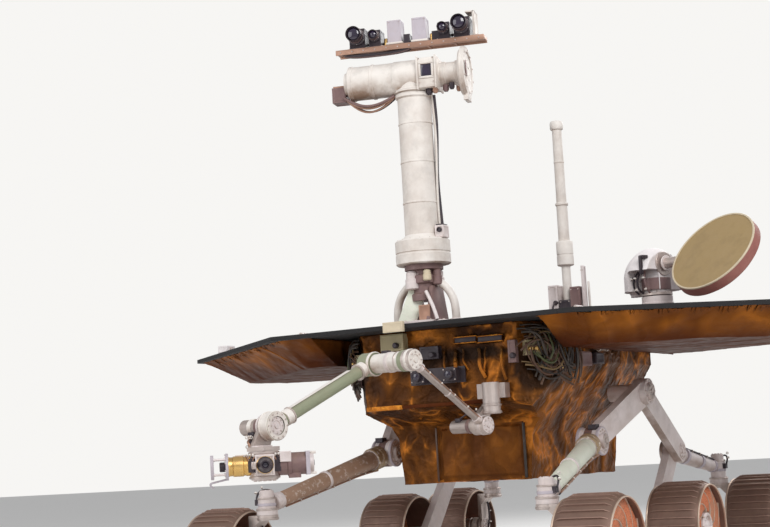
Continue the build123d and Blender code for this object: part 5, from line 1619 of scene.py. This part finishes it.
class ROVER_OT_body(bpy.types.Operator):
    """Boxes, sockets and cords on the warm box, and its taped seams"""
    bl_idname = "rover.body"
    bl_label = "Body fittings"

    def execute(self, context):
        self.front()
        self.cameras()
        for sign in (1, -1):
            self.corner(sign)
        finished("body_trim", "root", "gold_blanket")
        return {"FINISHED"}

    def front(self):
        """Boxes, slots, folds and tapes on the front; the folds, slot edges and lit ledge take the film
        with painted light.
        """
        # columns: how far out, y, z, depth, width, height, finish of a box on the upper front
        # The near-black box in the middle also paints the deep shade above the front cameras
        for out, y, z, depth, width, height, finish in (
            (8, -130, 692, 30, 72, 46, "olive"), (4, -18, 655, 24, 58, 34, "camera"),
            (2, 232, 640, 18, 22, 60, "plum"),
        ):
            place = at(FRONT + out, y, z)
            block("front_box", place, finish, (depth + 1, width + 1, height + 1), 2.5, 2)
            turned("plug", place @ place_at((depth / 2, width * 0.2, -height * 0.2), (1, 0, 0)), "camera",
                [(0, -1), (8, -1), (8, 10), (6, 13), (0, 13)], 20)
        for y, z, width in ((89, 683, 64), (164, 680, 72)):
            for rise in (-8.5, 8.5):
                block("slot_edge", at(FRONT + 1.5, y, z + rise), "film_painted_light", (7, width + 6, 3), 0.8)
            block("slot_dark", at(FRONT + 0.5, y, z), "camera", (3, width, 14), 0.5)
        # columns: y, radius, sway and lowest point of a lit fold that hangs on the front
        for y, radius, sway, low in ((20, 3.4, 10, 586), (58, 6, -6, 570), (79, 3, 12, 600),
                (128, 5.2, 14, 576), (150, 2.8, -10, 592), (196, 4.4, 8, 566)):
            top = 660 - radius
            line = [(FRONT - 1, y, top), (FRONT + 6, y + sway * 0.6, top - 18),
                (FRONT + 6, y - sway * 0.4, (top + low) / 2), (FRONT + 3, y + sway * 0.8, low + 12),
                (FRONT - 3, y + sway, low)]
            tube("fold", Matrix(), "film_painted_light", line, radius)
        for y, wide, finish in ((-87, 6, "cord_brown"), (187, 8, "cord_dark")):
            block("seam", at(270.5 - CENTRE_SHIFT, y, 374), finish, (4, wide, 152), 1)
        block("lit_ledge", at(FRONT + 4, -174, 511), "film_painted_light", (12, 115, 13), 3)
        block("ledge", at(FRONT + 4, 10, 511), "film_dark", (10, 250, 10), 2)

    def cameras(self):
        """Hoods and lenses of the front and rear body cameras."""
        for node, way in (("hazard_cameras_front", 1), ("hazard_cameras_rear", -1)):
            low, high = box(node)
            tip = high.x if way > 0 else low.x
            z = (low.z + high.z) / 2
            for y in (-50, 50):
                place = place_at((tip, y, z), (way, 0, 0))
                collar("hood", up(place, -6), "camera", 10.5, 13.5, 7.5)
                turned("lens", place, "lens", [(0, -1), (9.5, -1), (9.5, 0.6), (5, 2.6), (0, 3.2)], 28)
                bolt_row([place @ at(dz, dy, -10.8) for dy in (-17, 17) for dz in (-14, 14)], 2)

    def corner(self, sign):
        """Boxes, sockets and a tangle of cords round a front corner and along the side."""
        middle = Vector((FRONT - 75, sign * 292.5, 0))
        out = Vector((95, sign * 150, 0)).normalized()
        along = Vector((-150, sign * 95, 0)).normalized()

        def spot(run, height, reach):
            return middle + along * run + out * reach + Vector((0, 0, height))

        # columns: along the corner, height, width, tall, how far it stands out, finish
        for run, height, width, tall, reach, finish in (
            (-44, 648, 54, 40, 16, "olive"), (30, 664, 46, 30, 12, "camera"),
            (18, 596, 62, 34, 12, "plum"),
        ):
            place = place_at(spot(run, height, 0), out, (0, 0, 1))
            block("corner_box", place, finish, (tall + 1, width + 1, reach * 2 + 1), 2.5, 1.8)
            for shift in (-0.3, 0, 0.3):
                plug = place @ at(-tall * 0.1, width * shift, reach)
                turned("plug", plug, "gold", [(0, -1), (6.5, -1), (6.5, 7), (4.8, 10), (0, 10)], 16)
        for x, z, width, tall, reach, finish in ((190, 616, 70, 38, 16, "plum"),
                (84, 620, 54, 30, 12, "camera")):
            place = place_at((x - CENTRE_SHIFT, sign * 340, z), (0, sign, 0), (0, 0, 1))
            block("side_box", place, finish, (tall + 1, width + 1, reach * 2 + 1), 2.5, 1.8)
        # columns: finish, radius and the cord's route as (along, height, reach)
        cords = (
            ("cord_dark", 6, ((-80, 690, 10), (-52, 694, 26), (-30, 676, 32), (-26, 640, 34),
                (-10, 612, 24), (30, 570, 16), (70, 556, 12))),
            ("cord_dark", 5.2, ((-66, 700, 10), (-20, 704, 26), (10, 694, 30), (34, 640, 30),
                (40, 610, 30), (66, 588, 18), (88, 600, 10))),
            ("cord_green", 4.6, ((-44, 634, 24), (-34, 612, 36), (-6, 596, 34), (20, 612, 32),
                (24, 650, 24))),
            ("cord_brown", 4.8, ((-60, 652, 22), (-68, 620, 30), (-46, 586, 26), (-10, 566, 20),
                (18, 580, 22))),
            ("cord_dark", 6.6, ((-30, 560, 6), (-26, 590, 24), (4, 632, 34), (34, 682, 26), (60, 704, 14),
                (88, 706, 6))),
            ("cord_tan", 4, ((-74, 602, 10), (-40, 598, 28), (-2, 580, 28), (36, 594, 26), (52, 632, 22),
                (44, 660, 20))),
            ("cord_green", 4, ((0, 700, 8), (-8, 684, 30), (6, 650, 36), (0, 622, 36), (-22, 590, 22),
                (-30, 566, 8))),
            ("cord_dark", 5, ((10, 706, 8), (22, 688, 28), (60, 668, 26), (66, 640, 26), (48, 604, 24),
                (70, 572, 10))),
            ("cord_brown", 4.4, ((-84, 640, 8), (-70, 660, 24), (-40, 672, 30), (-10, 660, 32),
                (10, 628, 32), (34, 592, 26), (30, 560, 10))),
            ("cord_tan", 3.6, ((-52, 664, 26), (-44, 690, 26), (-12, 698, 26), (24, 680, 26))),
            ("cord_dark", 5.8, ((76, 700, 12), (84, 670, 22), (88, 634, 24), (96, 600, 16),
                (86, 560, 6))),
        )
        # columns: shift along the corner, up and outwards, share of the radius, of each strand of a route
        strands = ((0, 0, 0, 0.72), (9, -12, -3, 0.52), (-12, 9, -5, 0.46), (16, 4, -2, 0.40))
        for index, (finish, radius, route) in enumerate(cords):
            for strand, (run, rise, reach, share) in enumerate(strands):
                line = [spot(a + run * (1 + 0.3 * math.sin(index + step)), b + rise, max(4, c + reach))
                    for step, (a, b, c) in enumerate(route)]
                tint = finish if strand % 2 == 0 else ("cord_dark", "cord_brown")[(index + strand) % 2]
                tube("cord", Matrix(), tint, line, radius * share)
        for z, reach, length in ((700, 10, 340), (684, 13, 300), (650, 11, 260)):
            start = 245 - CENTRE_SHIFT
            line = [(start - length * share, sign * (340 + reach + 3 * math.sin(share * 9 + z * 0.04)),
                z + 6 * math.sin(share * 7)) for share in (0, 0.2, 0.4, 0.6, 0.8, 1)]
            strapped(line, "cord_dark" if z > 690 else "cord_brown", 5)


class ROVER_OT_finishes(bpy.types.Operator):
    """Give each piece of the frame its finish"""
    bl_idname = "rover.finishes"
    bl_label = "Finishes"

    def execute(self, context):
        for name, node in NODES.items():
            finish = next(value for start, value in NODE_FINISHES if name.startswith(start))
            dress(node, finish)
        return {"FINISHED"}


class ROVER_OT_stage(bpy.types.Operator):
    """Floor, lamps and the camera at the photograph's place"""
    bl_idname = "rover.stage"
    bl_label = "Stage"

    def execute(self, context):
        bpy.ops.object.select_all(action="DESELECT")
        bpy.ops.mesh.primitive_plane_add(size=60, location=(0, 0, 0))
        floor = context.object
        floor.name = "floor"
        finish = Finish("floor")
        tone = finish.mix(finish.noise(1.5, 3.0), colours().floor, [c * 0.97 for c in colours().floor])
        finish.link(tone, "Base Color")
        finish.set(roughness=0.9)
        floor.data.materials.append(finish.material)
        # columns: name, place, size, power
        lamps = (
            ("lamp_key", (3.2, 3.6, 3.8), 2.6, 150.0),
            ("lamp_fill", (4.4, -2.6, 2.4), 3.4, 70.0),
            ("lamp_back", (-3.6, 0.5, 3.2), 3.0, 90.0),
        )
        for name, place, size, power in lamps:
            bpy.ops.object.light_add(type="AREA", location=place)
            lamp = context.object
            lamp.name = name
            lamp.data.size = size
            lamp.data.energy = power
            aim = Vector((0.1, 0, 0.6)) - Vector(place)
            lamp.rotation_euler = aim.to_track_quat("-Z", "Y").to_euler()
        world = bpy.data.worlds.new("studio")
        context.scene.world = world
        world.use_nodes = True
        nodes, links = world.node_tree.nodes, world.node_tree.links
        plain = nodes["Background"]
        plain.inputs["Color"].default_value = (0.9, 0.91, 0.93, 1)
        plain.inputs["Strength"].default_value = 0.55
        shown = nodes.new("ShaderNodeBackground")
        shown.inputs["Color"].default_value = (0.93, 0.92, 0.90, 1)
        path = nodes.new("ShaderNodeLightPath")
        blend = nodes.new("ShaderNodeMixShader")
        links.new(path.outputs["Is Camera Ray"], blend.inputs["Fac"])
        links.new(plain.outputs[0], blend.inputs[1])
        links.new(shown.outputs[0], blend.inputs[2])
        links.new(blend.outputs[0], nodes["World Output"].inputs["Surface"])
        flat = Vector((math.cos(CAMERA_YAW), math.sin(CAMERA_YAW), 0))
        back = flat * math.cos(CAMERA_PITCH) + Vector((0, 0, math.sin(CAMERA_PITCH)))
        level = Vector((-math.sin(CAMERA_YAW), math.cos(CAMERA_YAW), 0))
        above = back.cross(level)
        across = level * math.cos(CAMERA_ROLL) + above * math.sin(CAMERA_ROLL)
        upward = above * math.cos(CAMERA_ROLL) - level * math.sin(CAMERA_ROLL)
        bpy.ops.object.camera_add()
        camera = context.object
        camera.name = "camera"
        turn = Matrix((across, upward, back)).transposed().to_4x4()
        camera.matrix_world = Matrix.Translation(CAMERA_PLACE) @ turn
        camera.data.lens = CAMERA_LENS
        camera.data.sensor_width = 36
        context.scene.camera = camera
        context.scene.view_settings.view_transform = "Standard"
        return {"FINISHED"}


OPERATORS = (
    ROVER_OT_finishes,
    ROVER_OT_film,
    ROVER_OT_wheels,
    ROVER_OT_mast,
    ROVER_OT_head,
    ROVER_OT_cameras,
    ROVER_OT_arm,
    ROVER_OT_turret,
    ROVER_OT_legs,
    ROVER_OT_knuckles,
    ROVER_OT_dish,
    ROVER_OT_antennas,
    ROVER_OT_deck,
    ROVER_OT_body,
    ROVER_OT_stage,
)


class ROVER_PT_looks(bpy.types.Panel):
    """Lists the steps of the rover's looks"""
    bl_label = "Rover looks"
    bl_idname = "ROVER_PT_looks"
    bl_space_type = "VIEW_3D"
    bl_region_type = "UI"
    bl_category = "Rover"

    def draw(self, context):
        for operator in OPERATORS:
            self.layout.operator(operator.bl_idname)
        for group in (context.scene.rover_colours, context.scene.rover_sizes):
            for name in group.__annotations__:
                self.layout.prop(group, name)


CLASSES = (RoverColours, RoverSizes, *OPERATORS, ROVER_PT_looks)


def register():
    """Makes the classes and the scene's values known."""
    for item in CLASSES:
        bpy.utils.register_class(item)
    bpy.types.Scene.rover_colours = bpy.props.PointerProperty(type=RoverColours)
    bpy.types.Scene.rover_sizes = bpy.props.PointerProperty(type=RoverSizes)


def unregister():
    """Forgets them again."""
    del bpy.types.Scene.rover_sizes
    del bpy.types.Scene.rover_colours
    for item in reversed(CLASSES):
        bpy.utils.unregister_class(item)


def main():
    """Builds the looks in order."""
    register()
    for operator in OPERATORS:
        group, step = operator.bl_idname.split(".")
        getattr(getattr(bpy.ops, group), step)()


if __name__ == "__main__":
    main()
